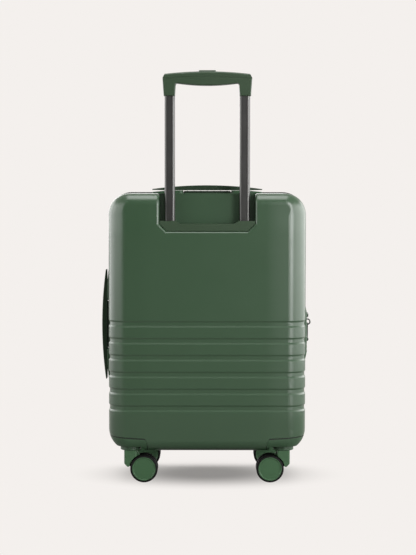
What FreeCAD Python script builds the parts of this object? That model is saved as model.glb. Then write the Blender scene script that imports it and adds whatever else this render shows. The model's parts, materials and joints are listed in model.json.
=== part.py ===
import FreeCAD, Part
import math
import os

# A hard shell suitcase on four twin-wheel casters, standing upright, in millimetres.
# X is the width, Y the depth with the trolley side at -Y, Z is up and the floor is Z = 0.

# Case
WIDTH = 365.0  # over the sides at mid height
DEPTH = 230.0  # over both faces
SHELL_BOTTOM = 60.0
SHELL_TOP = 536.0
WALL = 2.2  # moulded shell
CORNER_R = 40.0  # corners seen from the front
SIDE_EDGE_R = 34.0  # upright edges of each face
TOP_EDGE_R = 21.0  # top and bottom edges of each face
SEAM = 0.35  # visible gap between fitted mouldings
SIDE_REACH = 15.0  # carry handles and zip pull stand this proud, equally, so the case stays centred

# Grooves pressed round each face
GROOVE_COUNT = 6
GROOVE_TOP = 236.0  # middle of the highest groove above the shell's bottom
GROOVE_PITCH = 31.2
GROOVE_HEIGHT = 12.5
GROOVE_FLOOR = 6.0
GROOVE_DEPTH = 1.7
GROOVE_END_Y = 62.0  # where a groove has run out on the side, from the middle plane
GROOVE_RUNOUT = 14.0

# Zip and lining
ZIP_TAPE = 6.0  # each half of the zip, along the depth
ZIP_PROUD = 1.4
ZIP_DEPTH = 4.0  # how far the tape reaches in from the shell's surface
TAPE_GAP = 0.15  # half of the gap between the closed halves
LINING_GAP = 13.0  # room behind the lining for handle ends
LINING_WALL = 1.2
DIVIDER_THICK = 2.0
DIVIDER_MOUTH = 42.0  # open gap above the divider, the way into the lid's pocket
STRAP_WIDTH = 38.0
STRAP_THICK = 1.6
STRAP_RISE = 120.0  # middle of a strap's outer end above or below the buckle
STRAP_START = 4.0  # near edge of a strap at the buckle, from the buckle's middle
BUCKLE_SIZE = 56.0
BUCKLE_SHARE = 0.8  # of its width that the buckle is high
BUCKLE_THICK = 6.0
BUCKLE_EDGE_R = 2.0

# Trolley pocket in the back face
POCKET_DEPTH = 34.0
POCKET_HALF = 88.0
POCKET_HALF_LOW = 74.0
POCKET_DROP = 69.5  # shell's top to the pocket's floor
POCKET_CORNER = 14.0  # height of the slanted lower corners
POCKET_RIM_R = 5.0
BEZEL_HEIGHT = 19.0
BEZEL_DIP = 5.5
BEZEL_DIP_HALF = 50.0
BEZEL_DIP_SLOPE = 8.0
BEZEL_SETBACK = 1.5  # bezel face behind the shell's face
BEZEL_EDGE_R = 1.2

# Trolley tubes: outer tubes are fixed, middle and inner tubes telescope out of them
TUBE_SPACING = 137.6
TUBE_Y = -DEPTH / 2 + 16.5
TUBE_SIZE_X = 19.2  # middle tube, the visible one
TUBE_SIZE_Y = 14.4
TUBE_WALL = 1.2
TUBE_CORNER = 4.5
TUBE_GAP = 0.45  # sliding gap per side between telescoping tubes
TUBE_CHANNEL = 6.5  # width of the shallow channel down the middle tube
TUBE_CHANNEL_DEPTH = 0.5
OUTER_TUBE_BOTTOM = 68.0
OUTER_TUBE_LAP = 11.0  # how far the outer tube enters the bezel
TRAVEL = 228.0  # of each telescope stage
STOP_LAP = 26.0  # tube left under the middle tube's lower end when stowed
INNER_TUBE_RISE = 9.9  # lower end of the inner tube above that of the middle tube
FOOT_HEIGHT = 16.0
FOOT_WALL = 4.0

# Grip
GRIP_LEG_GAP = 0.4  # between a stowed leg and the bezel
LEG_HEIGHT = 22.3
GRIP_HEIGHT = 44.4  # leg ends to the middle of the top
GRIP_HALF_TOP = 82.0
GRIP_HALF_END = 79.8  # at the leg ends
GRIP_ARCH = 5.0
GRIP_BELLY = 3.3
GRIP_END_LIFT = 1.5  # the cover's joint is flatter than the arch by this at its ends
BEAM_END_LIFT = 1.0
LEG_TAPER = 1.5
GRIP_INNER_R = 3.0
GRIP_EDGE_R = 2.0
GRIP_DEPTH = 24.0
LEG_SOCKET = 18.0  # how far the inner tube enters the grip
COVER_HEIGHT = 9.0
COVER_END = 4.0  # sloping end of the cover, along the width
COVER_EDGE_R = 3.4
GRIP_CHANNEL = 9.0  # width of the hollow for the push bar
CHANNEL_GAP = 1.0  # round the push bar
CHANNEL_END = 3.0  # beyond the push rods
BUTTON_LENGTH = 31.0
BUTTON_DEPTH = 13.0
BUTTON_PROUD = 2.4
BUTTON_TRAVEL = 4.0
BUTTON_GAP = 0.3
BUTTON_EDGE_R = 1.4
STEM_GAP = 1.5
ROD_R = 2.4
BAR_HEIGHT = 5.0
ROD_END_GAP = 1.5  # rod end above a latch when the button is pressed
PLUG_HEIGHT = 34.0
LATCH_R = 2.2
LATCH_LENGTH = 5.0

# Carry handles
HANDLE_LENGTH = 206.0
HANDLE_TIP = 8.0
HANDLE_WIDTH = 22.0
HANDLE_Y = -32.0
SIDE_HANDLE_DROP = 8.0  # middle of the side handle below the middle of the case
HANDLE_GAP = 0.3  # strap above its plates
HANDLE_TIP_THICK = 1.8
HANDLE_EDGE_R = 1.6
PLATE_LENGTH = 58.0
PLATE_WIDTH = 26.0
PLATE_HEIGHT = 5.2
PLATE_END_HEIGHT = 2.6
PLATE_CORNER_R = 6.0
PLATE_EDGE_R = 0.8
POST_SIZE = 9.0
POST_X = 76.0
POST_REACH = 9.5  # post end below the surface of the shell
POST_GAP = 0.4
POST_LAP = 1.5  # how far a post runs into the strap
SCREW_R = 1.6
SCREW_HEAD_R = 3.0
SCREW_HEAD = 2.0
SCREW_SHARE = 0.7  # of the plate's end height that a screw enters
SCREW_OFFSET = 13.0

# Lock and zip sliders
LOCK_DROP = 24.0  # middle of the lock below the middle of the case
LOCK_LENGTH = 124.0
LOCK_WIDTH = 27.0
LOCK_Y = -24.0
LOCK_PROUD = 5.6
LOCK_INSIDE = 9.0
LOCK_RIM = 6.0
LOCK_EDGE_R = 3.0
LOCK_RAMP = 24.0  # sloping run at each end
LOCK_BEND_R = 40.0
DIAL_R = 7.0
DIAL_WIDTH = 4.6
DIAL_PITCH = 8.0
DIAL_PROUD = 1.0
DIAL_PIN_R = 1.2
DIAL_FIT = 0.05
DIAL_ROOM = 0.4  # between a dial and the lock cover
DIAL_EDGE_R = 0.6
DIAL_Z = -28.0  # middle dial, from the middle of the lock
LOCK_BUTTON_LENGTH = 13.0
LOCK_BUTTON_WIDTH = 9.0
LOCK_BUTTON_TRAVEL = 3.0
LOCK_BUTTON_Z = 6.0  # from the middle of the lock
LOCK_BUTTON_GAP = 0.3
LOCK_BUTTON_PROUD = 0.2
LOCK_BUTTON_R = 0.8
LOCK_RECESS = 3.0
DOCK_DEPTH = 3.4  # slot for the docked zip pull
DOCK_LENGTH = 9.0
DOCK_HALF = 2.2
SLIDER_LENGTH = 12.0
SLIDER_WIDTH = 8.5
SLIDER_HEIGHT = 3.2
SLIDER_GAP = 0.3
SLIDER_EDGE_R = 1.0
SLIDER_RISE = 17.5  # middle of the lower slider above the middle of the lock
SLIDER_PITCH = 13.0
BRIDGE_R = 1.1
BRIDGE_HEIGHT = 3.2
BRIDGE_LAP = 0.8
LOOP_R = 6.4
LOOP_BAR = 1.3
TAB_LENGTH = 32.0
TAB_WIDTH = 7.0
TAB_NECK = 4.6
TAB_THICK = 2.4
TAB_BEAD_R = 2.6
TAB_PLAY = 0.35
TAB_EDGE_SHARE = 0.3
DOCKED_PULL_LENGTH = 17.0
PULL_HALF = 2.2
COLLAR_WALL = 1.1

# Casters
CASTER_X = 142.0
CASTER_Y = 83.0
WHEEL_R = 25.6
WHEEL_TRAIL = 25.0
WHEEL_WIDTH = 13.0
WHEEL_GAP = 0.8  # wheel to fork web
TYRE_THICK = 3.9
TYRE_SHOULDER = 3.0
HUB_RIM = 1.6
HUB_DISH = 1.0
AXLE_R = 3.0
AXLE_FIT = 0.05
AXLE_CAP = 3.0
WEB_THICK = 8.0
FORK_HALF = 11.6
FORK_WIDTH = 34.0
FORK_CLEAR = 1.9
FORK_FOOT_Z = 29.5
FORK_CHAMFER = 6.0
FORK_GAP = 0.35
FORK_EDGE_R = 2.5
WEB_INSET = 2.0  # web inside the fork's outline
WEB_END = 2.0  # web round the axle, in axle radii
AXLE_BOSS = 2.3  # boss radius in axle radii
CUP_R = 18.8
CUP_EDGE_R = 1.2
CUP_LAP = 1.0
PIN_R = 4.0
PIN_FIT = 0.05
PIN_END_Z = 44.0
PIN_HEAD_R = 8.0
PIN_HEAD = 3.0
HOUSING_BOTTOM = 68.5
HOUSING_X = 112.0
HOUSING_Y = 54.0
HOUSING_TOP_IN = 84.0
HOUSING_TOP_OUT = 89.0
HOUSING_WALL = 3.0
HOUSING_CORNER = 8.0
HOUSING_BEND = 2.0  # middle of the rounded inner corner, from its square corner
HOUSING_STEP = 3.0  # lower part narrower than the upper part
HOUSING_FLOOR = 4.0
HOUSING_BOSS = 3.0

MARGIN = 20.0  # how far cutting bodies overshoot
SHORT_MARGIN = 1.0  # the same in small holes
NEAR = 0.01  # tolerance when edges are picked
MID_Z = (SHELL_BOTTOM + SHELL_TOP) / 2
GROOVE_TOP_Z = SHELL_BOTTOM + GROOVE_TOP
POCKET_FLOOR_Z = SHELL_TOP - POCKET_DROP
SIDE_HANDLE_Z = MID_Z - SIDE_HANDLE_DROP
LOCK_Z = MID_Z - LOCK_DROP
SLIDER_Z = LOCK_Z + SLIDER_RISE
BACK_Y = -DEPTH / 2
SIDE_X = WIDTH / 2
ZIP_Y = ZIP_TAPE
CASTER_SIDES = {"left": -1, "right": 1}
CASTER_ENDS = {"back": -1, "front": 1}


def vec(x, y, z):
    return FreeCAD.Vector(x, y, z)


def box(x0, x1, y0, y1, z0, z1):
    return Part.makeBox(x1 - x0, y1 - y0, z1 - z0, vec(x0, y0, z0))


def rod(radius, start, end):
    axis = end - start
    return Part.makeCylinder(radius, axis.Length, start, axis)


def moved(shape, x, y, z):
    copy = shape.copy()
    copy.translate(vec(x, y, z))
    return copy


def mirrored(shape, normal):
    return shape.mirror(vec(0, 0, 0), normal)


def profile_xz(points, y0, y1):
    """A prism along Y. A point written as a pair of points is an arc's middle and end."""
    edges = []
    at = vec(points[0][0], y0, points[0][1])
    for step in points[1:]:
        if isinstance(step[0], tuple):
            middle = vec(step[0][0], y0, step[0][1])
            end = vec(step[1][0], y0, step[1][1])
            edges.append(Part.Arc(at, middle, end).toShape())
        else:
            end = vec(step[0], y0, step[1])
            edges.append(Part.makeLine(at, end))
        at = end
    first = edges[0].Vertexes[0].Point
    if at.distanceToPoint(first) > NEAR:
        edges.append(Part.makeLine(at, first))
    return Part.Face(Part.Wire(edges)).extrude(vec(0, y1 - y0, 0))


def profile_yz(points, x0, x1):
    """The same prism with its outline in the YZ plane, along X."""
    prism = profile_xz(points, -x1, -x0)
    prism.rotate(vec(0, 0, 0), vec(0, 0, 1), 90)
    return prism


def rounded(shape, radii):
    """Round edges with several radii at once; radii is a list of (radius, test of an edge)."""
    document = FreeCAD.newDocument("rounding")
    base = document.addObject("Part::Feature", "base")
    base.Shape = shape
    feature = document.addObject("Part::Fillet", "rounded")
    feature.Base = base
    picked = []
    for number, edge in enumerate(shape.Edges, 1):
        for radius, test in radii:
            if test(edge.BoundBox):
                picked.append((number, radius, radius))
                break
    feature.Edges = picked
    document.recompute()
    result = feature.Shape.copy()
    FreeCAD.closeDocument(document.Name)
    return result.Solids[0]


def round_all(shape, radius, test=None):
    edges = [e for e in shape.Edges if test is None or test(e.BoundBox)]
    return shape.makeFillet(radius, edges)


def square_block(inset, y0, y1):
    """The case's front outline with square corners, moved inwards by inset, between two depths."""
    half = SIDE_X - inset
    return box(-half, half, y0, y1, SHELL_BOTTOM + inset, SHELL_TOP - inset)


def case_block(inset, rim_y):
    """Solid back half of the case, moved inwards by inset, from its rounded face to rim_y."""
    face_y = BACK_Y + inset
    block = square_block(inset, face_y, rim_y)

    def on_face(b):
        return b.YMax < face_y + NEAR

    return rounded(block, [
        (SIDE_EDGE_R - inset, lambda b: on_face(b) and b.ZLength > b.XLength),
        (TOP_EDGE_R - inset, on_face),
        (CORNER_R - inset, lambda b: b.YLength > NEAR and b.XLength < NEAR),
    ])


def case_ring(outer_inset, inner_inset, y0, y1):
    """A band that follows the case's outline."""
    bands = []
    for inset in (outer_inset, inner_inset):
        block = square_block(inset, y0, y1)
        bands.append(round_all(block, CORNER_R - inset, lambda b: b.YLength > NEAR))
    return bands[0].cut(bands[1])


def groove_cutters(z):
    """One groove as two halves, swept from the middle of the back face and running out on the side."""
    half = SIDE_X
    bend_y = BACK_Y + SIDE_EDGE_R
    bend_x = half - SIDE_EDGE_R
    slant = SIDE_EDGE_R * math.sqrt(0.5)
    lift = 2 * GROOVE_DEPTH
    run_r = (GROOVE_RUNOUT**2 + lift**2) / (2 * lift)
    run_mid = run_r - math.sqrt(run_r**2 - (GROOVE_RUNOUT / 2)**2)
    run_y = -GROOVE_END_Y
    spine = Part.Wire([
        Part.makeLine(vec(0, BACK_Y, z), vec(bend_x, BACK_Y, z)),
        Part.Arc(vec(bend_x, BACK_Y, z), vec(bend_x + slant, bend_y - slant, z),
                 vec(half, bend_y, z)).toShape(),
        Part.makeLine(vec(half, bend_y, z), vec(half, run_y, z)),
        Part.Arc(vec(half, run_y, z), vec(half + run_mid, run_y + GROOVE_RUNOUT / 2, z),
                 vec(half + lift, run_y + GROOVE_RUNOUT, z)).toShape(),
    ])
    middle = vec(0, BACK_Y, z)
    out = GROOVE_HEIGHT / 2
    flat = GROOVE_FLOOR / 2
    wide = out + (out - flat)
    section = Part.makePolygon([
        middle + vec(0, -GROOVE_DEPTH, -wide),
        middle + vec(0, GROOVE_DEPTH, -flat),
        middle + vec(0, GROOVE_DEPTH, flat),
        middle + vec(0, -GROOVE_DEPTH, wide),
        middle + vec(0, -GROOVE_DEPTH, -wide),
    ])
    right = spine.makePipeShell([section], True, True)
    return [right, mirrored(right, vec(1, 0, 0))]


def all_grooves():
    cutters = []
    for i in range(GROOVE_COUNT):
        cutters += groove_cutters(GROOVE_TOP_Z - GROOVE_PITCH * i)
    return cutters


def pocket_block(grow):
    """The trolley pocket's room, grown by a wall's thickness for the inside of the shell."""
    half = POCKET_HALF + grow
    low = POCKET_HALF_LOW + grow / 2
    floor = POCKET_FLOOR_Z - grow
    top = SHELL_TOP + MARGIN
    outline = [(-low, floor), (low, floor), (half, floor + POCKET_CORNER), (half, top),
               (-half, top), (-half, floor + POCKET_CORNER)]
    return profile_xz(outline, BACK_Y - MARGIN, BACK_Y + POCKET_DEPTH + grow)


def corner_block(grow):
    """Room of one bottom corner housing at the back left, seen from behind."""
    inner = -HOUSING_X + grow
    slope = HOUSING_TOP_IN + grow
    step = inner + HOUSING_STEP
    outline = [(-SIDE_X - MARGIN, SHELL_BOTTOM - MARGIN), (step, SHELL_BOTTOM - MARGIN),
               (step, HOUSING_BOTTOM), (inner, slope - HOUSING_CORNER),
               ((inner - HOUSING_BEND, slope - HOUSING_BEND), (inner - HOUSING_CORNER, slope)),
               (-SIDE_X - MARGIN, HOUSING_TOP_OUT + grow)]
    return profile_xz(outline, BACK_Y - MARGIN, -HOUSING_Y + grow)


def both_corners(grow):
    one = corner_block(grow)
    return [one, mirrored(one, vec(1, 0, 0))]


def to_front(shape):
    return mirrored(shape, vec(0, 1, 0))


def tube_section(size_x, size_y, corner, z0, z1):
    block = box(-size_x / 2, size_x / 2, -size_y / 2, size_y / 2, z0, z1)
    return round_all(block, corner, lambda b: b.ZLength > NEAR)


def tube_size(layer):
    """Outside size of a telescope layer: 0 middle tube, 1 outer tube, -1 inner tube."""
    step = 2 * (TUBE_WALL + TUBE_GAP) * layer
    return TUBE_SIZE_X + step, TUBE_SIZE_Y + step, TUBE_CORNER + step / 2


def tube_block(layer, grow, z0, z1):
    size_x, size_y, corner = tube_size(layer)
    return tube_section(size_x + 2 * grow, size_y + 2 * grow, corner + grow, z0, z1)


def tube(layer, z0, z1):
    room = tube_block(layer, -TUBE_WALL, z0 - SHORT_MARGIN, z1 + SHORT_MARGIN)
    return tube_block(layer, 0, z0, z1).cut(room)


def at_tubes(shape):
    """The same shape on the left and right tube."""
    left = moved(shape, -TUBE_SPACING / 2, TUBE_Y, 0)
    return [left, mirrored(left, vec(1, 0, 0))]


# Heights that follow from the sizes above
BEZEL_TOP = POCKET_FLOOR_Z + BEZEL_HEIGHT
LEG_Z = BEZEL_TOP + GRIP_LEG_GAP + TRAVEL
GRIP_TOP = LEG_Z + GRIP_HEIGHT
BEAM_Z = LEG_Z + LEG_HEIGHT
COVER_Z = GRIP_TOP - COVER_HEIGHT
MIDDLE_TUBE_TOP = LEG_Z - SEAM
MIDDLE_TUBE_BOTTOM = OUTER_TUBE_BOTTOM + STOP_LAP + TRAVEL
INNER_TUBE_TOP = LEG_Z + LEG_SOCKET
INNER_TUBE_BOTTOM = MIDDLE_TUBE_BOTTOM + INNER_TUBE_RISE
OUTER_TUBE_TOP = POCKET_FLOOR_Z + OUTER_TUBE_LAP
AXLE_Z = WHEEL_R
WHEEL_MID = WEB_THICK / 2 + WHEEL_GAP + WHEEL_WIDTH / 2
FORK_TOP = SHELL_BOTTOM - FORK_GAP

parts = {}


def add(name, *solids):
    parts[name] = solids[0] if len(solids) == 1 else Part.makeCompound(list(solids))


def handle_frame(shape, where):
    """Put a handle piece, drawn lying along X and rising along Z, on the top or the left side."""
    copy = shape.copy()
    if where == "top":
        copy.translate(vec(0, HANDLE_Y, SHELL_TOP))
    else:
        copy.rotate(vec(0, 0, 0), vec(0, 1, 0), -90)
        copy.translate(vec(-SIDE_X, HANDLE_Y, SIDE_HANDLE_Z))
    return copy


def post_block(side, grow, top):
    half = POST_SIZE / 2 + grow
    x = side * POST_X
    return box(x - half, x + half, -half, half, -POST_REACH - (MARGIN if grow else 0), top)


def handle_posts(grow, top):
    return [post_block(side, grow, top) for side in (-1, 1)]


def screw_spots(side):
    return [side * POST_X - SCREW_OFFSET, side * POST_X + SCREW_OFFSET]


def screw_hole(x):
    return rod(SCREW_R, vec(x, 0, -MARGIN), vec(x, 0, PLATE_END_HEIGHT * SCREW_SHARE))


def handle_plate(side):
    inner = HANDLE_LENGTH / 2 - PLATE_LENGTH
    outer = HANDLE_LENGTH / 2
    half = PLATE_WIDTH / 2
    outline = [(inner, 0), (outer, 0), (outer, PLATE_END_HEIGHT),
               (outer - PLATE_LENGTH / 2, PLATE_HEIGHT), (inner, PLATE_HEIGHT)]
    plate = profile_xz(outline, -half, half)
    plate = round_all(plate, PLATE_CORNER_R, lambda b: b.XLength < NEAR and b.YLength < NEAR)
    plate = round_all(plate, PLATE_EDGE_R, lambda b: b.ZMin > PLATE_END_HEIGHT - NEAR
                      and b.XLength > NEAR and b.YLength < PLATE_WIDTH - 2 * PLATE_CORNER_R - NEAR)
    if side < 0:
        plate = mirrored(plate, vec(1, 0, 0))
    return plate


def handle_strap():
    half = HANDLE_LENGTH / 2
    rest = PLATE_HEIGHT + HANDLE_GAP
    tip = HANDLE_TIP - HANDLE_TIP_THICK
    lean = HANDLE_LENGTH / 2 - PLATE_LENGTH / 2
    outline = [(-half, tip), (-lean, rest), (lean, rest), (half, tip),
               (half, HANDLE_TIP), ((0, SIDE_REACH), (-half, HANDLE_TIP))]
    strap = profile_xz(outline, -HANDLE_WIDTH / 2, HANDLE_WIDTH / 2)
    strap = round_all(strap, HANDLE_EDGE_R, lambda b: b.ZMax > SIDE_REACH - NEAR and b.XLength > half)
    return strap.fuse(handle_posts(0, rest + POST_LAP)).removeSplitter()


def make_handles():
    plates = []
    screws = []
    for where in ("top", "side"):
        add(where + "_handle", handle_frame(handle_strap(), where))
        for side in (-1, 1):
            plate = handle_plate(side)
            plate = plate.cut(post_block(side, POST_GAP, MARGIN))
            for x in screw_spots(side):
                plate = plate.cut(screw_hole(x))
                screw = rod(SCREW_R, vec(x, 0, -WALL), vec(x, 0, PLATE_END_HEIGHT * SCREW_SHARE))
                head = rod(SCREW_HEAD_R, vec(x, 0, -WALL - SCREW_HEAD), vec(x, 0, -WALL))
                screws.append(handle_frame(screw.fuse(head), where))
            plates.append(handle_frame(plate, where))
    add("handle_plates", *plates)
    add("plate_screws", *screws)


def handle_holes():
    holes = []
    for where in ("top", "side"):
        for hole in handle_posts(POST_GAP, MARGIN):
            holes.append(handle_frame(hole, where))
        for side in (-1, 1):
            for x in screw_spots(side):
                holes.append(handle_frame(screw_hole(x), where))
    return holes


def lock_core(grow, inner_x, outer_x):
    """The part of the lock that fills the hole in the shell's side."""
    half = LOCK_WIDTH / 2 - LOCK_RIM + grow
    length = LOCK_LENGTH / 2 - LOCK_RIM + grow
    return box(inner_x, outer_x, LOCK_Y - half, LOCK_Y + half, LOCK_Z - length, LOCK_Z + length)


def make_back_shell():
    shell = BACK_BLOCK.cut(all_grooves())
    shell = shell.cut(pocket_block(0))
    shell = round_all(shell, POCKET_RIM_R, lambda b: b.YMax < BACK_Y + NEAR
                      and b.ZMin > POCKET_FLOOR_Z - NEAR and b.ZMax < SHELL_TOP - NEAR
                      and b.XMax < POCKET_HALF + NEAR and b.XMin > -POCKET_HALF - NEAR)
    inside = BACK_INSIDE.cut(pocket_block(WALL))
    cuts = [inside] + handle_holes() + both_corners(SEAM)
    cuts.append(lock_core(POST_GAP, SIDE_X - MARGIN, SIDE_X + MARGIN))
    cuts += at_tubes(tube_block(1, POST_GAP, POCKET_FLOOR_Z - MARGIN, POCKET_FLOOR_Z + POCKET_CORNER))
    shell = shell.cut(cuts)
    add("back_shell", shell)


def make_front_shell():
    shell = BACK_BLOCK.cut(all_grooves())
    shell = shell.cut([BACK_INSIDE] + both_corners(SEAM))
    add("front_shell", to_front(shell))


def lining_block(inset, back_y, rim_y):
    """Room inside the lining, stepped round the corner housings."""
    block = square_block(inset, back_y, rim_y)
    block = round_all(block, CORNER_R - LINING_GAP, lambda b: b.YLength > NEAR)
    step = inset - WALL - LINING_GAP + SEAM
    left = box(-WIDTH, -HOUSING_X + HOUSING_WALL + step, BACK_Y - MARGIN, -HOUSING_Y + step,
               0, HOUSING_TOP_OUT + step)
    return block.cut([left, mirrored(left, vec(1, 0, 0))])


def make_lining(back_y):
    """A tray of lining cloth with a flange that meets the shell just behind the zip."""
    inset = WALL + LINING_GAP
    tray = lining_block(inset, back_y, -ZIP_Y)
    tray = tray.cut(lining_block(inset + LINING_WALL, back_y + LINING_WALL, MARGIN))
    flange = case_ring(WALL, inset + LINING_WALL / 2, -ZIP_Y - LINING_WALL, -ZIP_Y)
    return tray.fuse(flange).removeSplitter()


def make_linings():
    tray_back = BACK_Y + POCKET_DEPTH + WALL + SEAM
    add("back_lining", make_lining(tray_back))
    add("front_lining", to_front(make_lining(BACK_Y + WALL + LINING_GAP)))
    inset = WALL + LINING_GAP + LINING_WALL + SEAM
    panel = lining_block(inset, ZIP_Y + SEAM, ZIP_Y + SEAM + DIVIDER_THICK)
    mouth_z = SHELL_TOP - inset - DIVIDER_MOUTH
    panel = panel.cut(box(-WIDTH, WIDTH, 0, DEPTH, mouth_z, SHELL_TOP))
    add("divider_panel", panel)
    floor_y = tray_back + LINING_WALL + SEAM
    reach = SIDE_X - WALL - LINING_GAP - LINING_WALL - SEAM
    straps = []
    for side in (-1, 1):
        for high in (-1, 1):
            z = MID_Z + high * STRAP_RISE
            band = Part.makePolygon([
                vec(side * BUCKLE_SIZE / 2, floor_y, MID_Z + high * STRAP_START),
                vec(side * BUCKLE_SIZE / 2, floor_y, MID_Z + high * (STRAP_START + STRAP_WIDTH / 2)),
                vec(side * reach, floor_y, z + high * STRAP_WIDTH / 2),
                vec(side * reach, floor_y, z - high * STRAP_WIDTH / 2),
                vec(side * BUCKLE_SIZE / 2, floor_y, MID_Z + high * STRAP_START),
            ])
            straps.append(Part.Face(band).extrude(vec(0, STRAP_THICK, 0)))
    add("packing_straps", *straps)
    half = BUCKLE_SIZE / 2
    high = half * BUCKLE_SHARE
    buckle = box(-half, half, floor_y, floor_y + BUCKLE_THICK, MID_Z - high, MID_Z + high)
    add("strap_buckle", round_all(buckle, BUCKLE_EDGE_R))


def make_zip():
    case_tape = case_ring(-ZIP_PROUD, ZIP_DEPTH, -ZIP_Y, -TAPE_GAP)
    add("case_zip_tape", case_tape)
    add("lid_zip_tape", to_front(case_tape))


def make_housings():
    inside_low = HOUSING_BOTTOM + HOUSING_FLOOR
    boss_top = inside_low + HOUSING_BOSS
    cup_top = inside_low - CUP_LAP
    housings = []
    pins = []
    for side in CASTER_SIDES.values():
        block = corner_block(0)
        inner = -HOUSING_X - HOUSING_WALL
        hollow = box(-SIDE_X - MARGIN, inner, BACK_Y - MARGIN, -HOUSING_Y - HOUSING_WALL,
                     SHELL_BOTTOM - MARGIN, SHELL_TOP)
        below = box(-SIDE_X - MARGIN, inner, BACK_Y - MARGIN, -HOUSING_Y - HOUSING_WALL,
                    SHELL_BOTTOM - MARGIN, HOUSING_BOTTOM)
        over = hollow.common(box(-SIDE_X - MARGIN, 0, BACK_Y - MARGIN, 0, inside_low, SHELL_TOP))
        housing = BACK_BLOCK.common(block).cut([below, over.common(BACK_INSIDE)])
        cup = rod(CUP_R, vec(-CASTER_X, -CASTER_Y, SHELL_BOTTOM),
                  vec(-CASTER_X, -CASTER_Y, cup_top))
        cup = round_all(cup, CUP_EDGE_R, lambda b: b.ZMax < SHELL_BOTTOM + NEAR)
        boss = rod(PIN_HEAD_R, vec(-CASTER_X, -CASTER_Y, cup_top),
                   vec(-CASTER_X, -CASTER_Y, boss_top))
        housing = housing.fuse([cup, boss]).removeSplitter()
        pin = rod(PIN_R, vec(-CASTER_X, -CASTER_Y, PIN_END_Z), vec(-CASTER_X, -CASTER_Y, boss_top))
        housing = housing.cut(pin)
        head = rod(PIN_HEAD_R, vec(-CASTER_X, -CASTER_Y, boss_top),
                   vec(-CASTER_X, -CASTER_Y, boss_top + PIN_HEAD))
        pin = pin.fuse(head)
        if side > 0:
            housing = mirrored(housing, vec(1, 0, 0))
            pin = mirrored(pin, vec(1, 0, 0))
        housings.append(housing)
        pins.append(pin)
    for side_name, index in (("left", 0), ("right", 1)):
        add("back_corner_" + side_name, housings[index])
        add("front_corner_" + side_name, to_front(housings[index]))
    add("back_kingpins", *pins)
    add("front_kingpins", *[to_front(pin) for pin in pins])


def make_fork():
    """Fork of the left caster with the swivel axis at X = 0, the wheels trailing to +X."""
    trail = WHEEL_TRAIL
    half = FORK_WIDTH / 2
    leg = profile_xz([
        (-FORK_HALF, FORK_TOP), (FORK_HALF, FORK_TOP), (FORK_HALF, FORK_FOOT_Z),
        (FORK_CHAMFER - FORK_HALF, FORK_FOOT_Z), (-FORK_HALF, FORK_FOOT_Z + FORK_CHAMFER)],
        -half, half)
    leg = round_all(leg, FORK_EDGE_R, lambda b: b.XLength < NEAR and b.YLength < NEAR)
    wheels = rod(WHEEL_R + FORK_CLEAR, vec(trail, -FORK_WIDTH, AXLE_Z),
                 vec(trail, FORK_WIDTH, AXLE_Z))
    leg = leg.cut(wheels)
    web = profile_xz([
        (WEB_INSET - FORK_HALF, FORK_TOP - WEB_INSET), (FORK_HALF, FORK_TOP - WEB_INSET),
        (trail + AXLE_R * WEB_END, AXLE_Z), (trail, AXLE_Z - AXLE_R * WEB_END),
        (FORK_CHAMFER - FORK_HALF, FORK_FOOT_Z)],
        -WEB_THICK / 2, WEB_THICK / 2)
    boss = rod(AXLE_R * AXLE_BOSS, vec(trail, -WEB_THICK / 2, AXLE_Z), vec(trail, WEB_THICK / 2, AXLE_Z))
    fork = leg.fuse([web, boss])
    bore = rod(PIN_R + PIN_FIT, vec(0, 0, PIN_END_Z - SHORT_MARGIN),
               vec(0, 0, FORK_TOP + SHORT_MARGIN))
    hole = rod(AXLE_R, vec(trail, -half, AXLE_Z), vec(trail, half, AXLE_Z))
    return fork.cut([bore, hole]).removeSplitter()


def turned(points, start, end):
    """A ring turned about the Y axis through the origin, from (radius, y) points."""
    outline = [vec(r, y, 0) for r, y in points]
    outline.append(outline[0])
    face = Part.Face(Part.makePolygon(outline))
    return face.revolve(start, end - start, 360)


def make_tyre():
    half = WHEEL_WIDTH / 2
    ring = turned([(WHEEL_R - TYRE_THICK, -half), (WHEEL_R, -half), (WHEEL_R, half),
                   (WHEEL_R - TYRE_THICK, half)], vec(0, 0, 0), vec(0, 1, 0))
    return round_all(ring, TYRE_SHOULDER, lambda b: b.XMax > WHEEL_R - NEAR and b.YLength < NEAR)


def make_hub():
    """Hub with its dished cap facing -Y and a blind bore for the axle from +Y."""
    half = WHEEL_WIDTH / 2
    rim = WHEEL_R - TYRE_THICK
    flat = rim - HUB_RIM
    bore = AXLE_R + AXLE_FIT
    return turned([(0, -half + HUB_DISH), (flat - HUB_DISH, -half + HUB_DISH), (flat, -half),
                   (rim, -half), (rim, half), (bore, half), (bore, -half + AXLE_CAP),
                   (0, -half + AXLE_CAP)], vec(0, 0, 0), vec(0, 1, 0))


def make_casters():
    tyre = make_tyre()
    hub = make_hub()
    fork = make_fork()
    reach = WHEEL_MID + WHEEL_WIDTH / 2 - AXLE_CAP - SEAM
    axle = rod(AXLE_R, vec(WHEEL_TRAIL, -reach, AXLE_Z), vec(WHEEL_TRAIL, reach, AXLE_Z))
    for end_name, end in CASTER_ENDS.items():
        for side_name, side in CASTER_SIDES.items():
            where = end_name + "_" + side_name
            x = side * CASTER_X
            y = end * CASTER_Y
            wheel_x = side * (CASTER_X - WHEEL_TRAIL)
            fork_here = fork if side < 0 else mirrored(fork, vec(1, 0, 0))
            axle_here = axle if side < 0 else mirrored(axle, vec(1, 0, 0))
            add("fork_" + where, moved(fork_here, x, y, 0), moved(axle_here, x, y, 0))
            for face_name, face in (("outer", end), ("inner", -end)):
                hub_here = hub if face < 0 else to_front(hub)
                wheel_y = y + face * WHEEL_MID
                name = where + "_" + face_name
                add("tyre_" + name, moved(tyre, wheel_x, wheel_y, AXLE_Z))
                add("hub_" + name, moved(hub_here, wheel_x, wheel_y, AXLE_Z))


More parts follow.
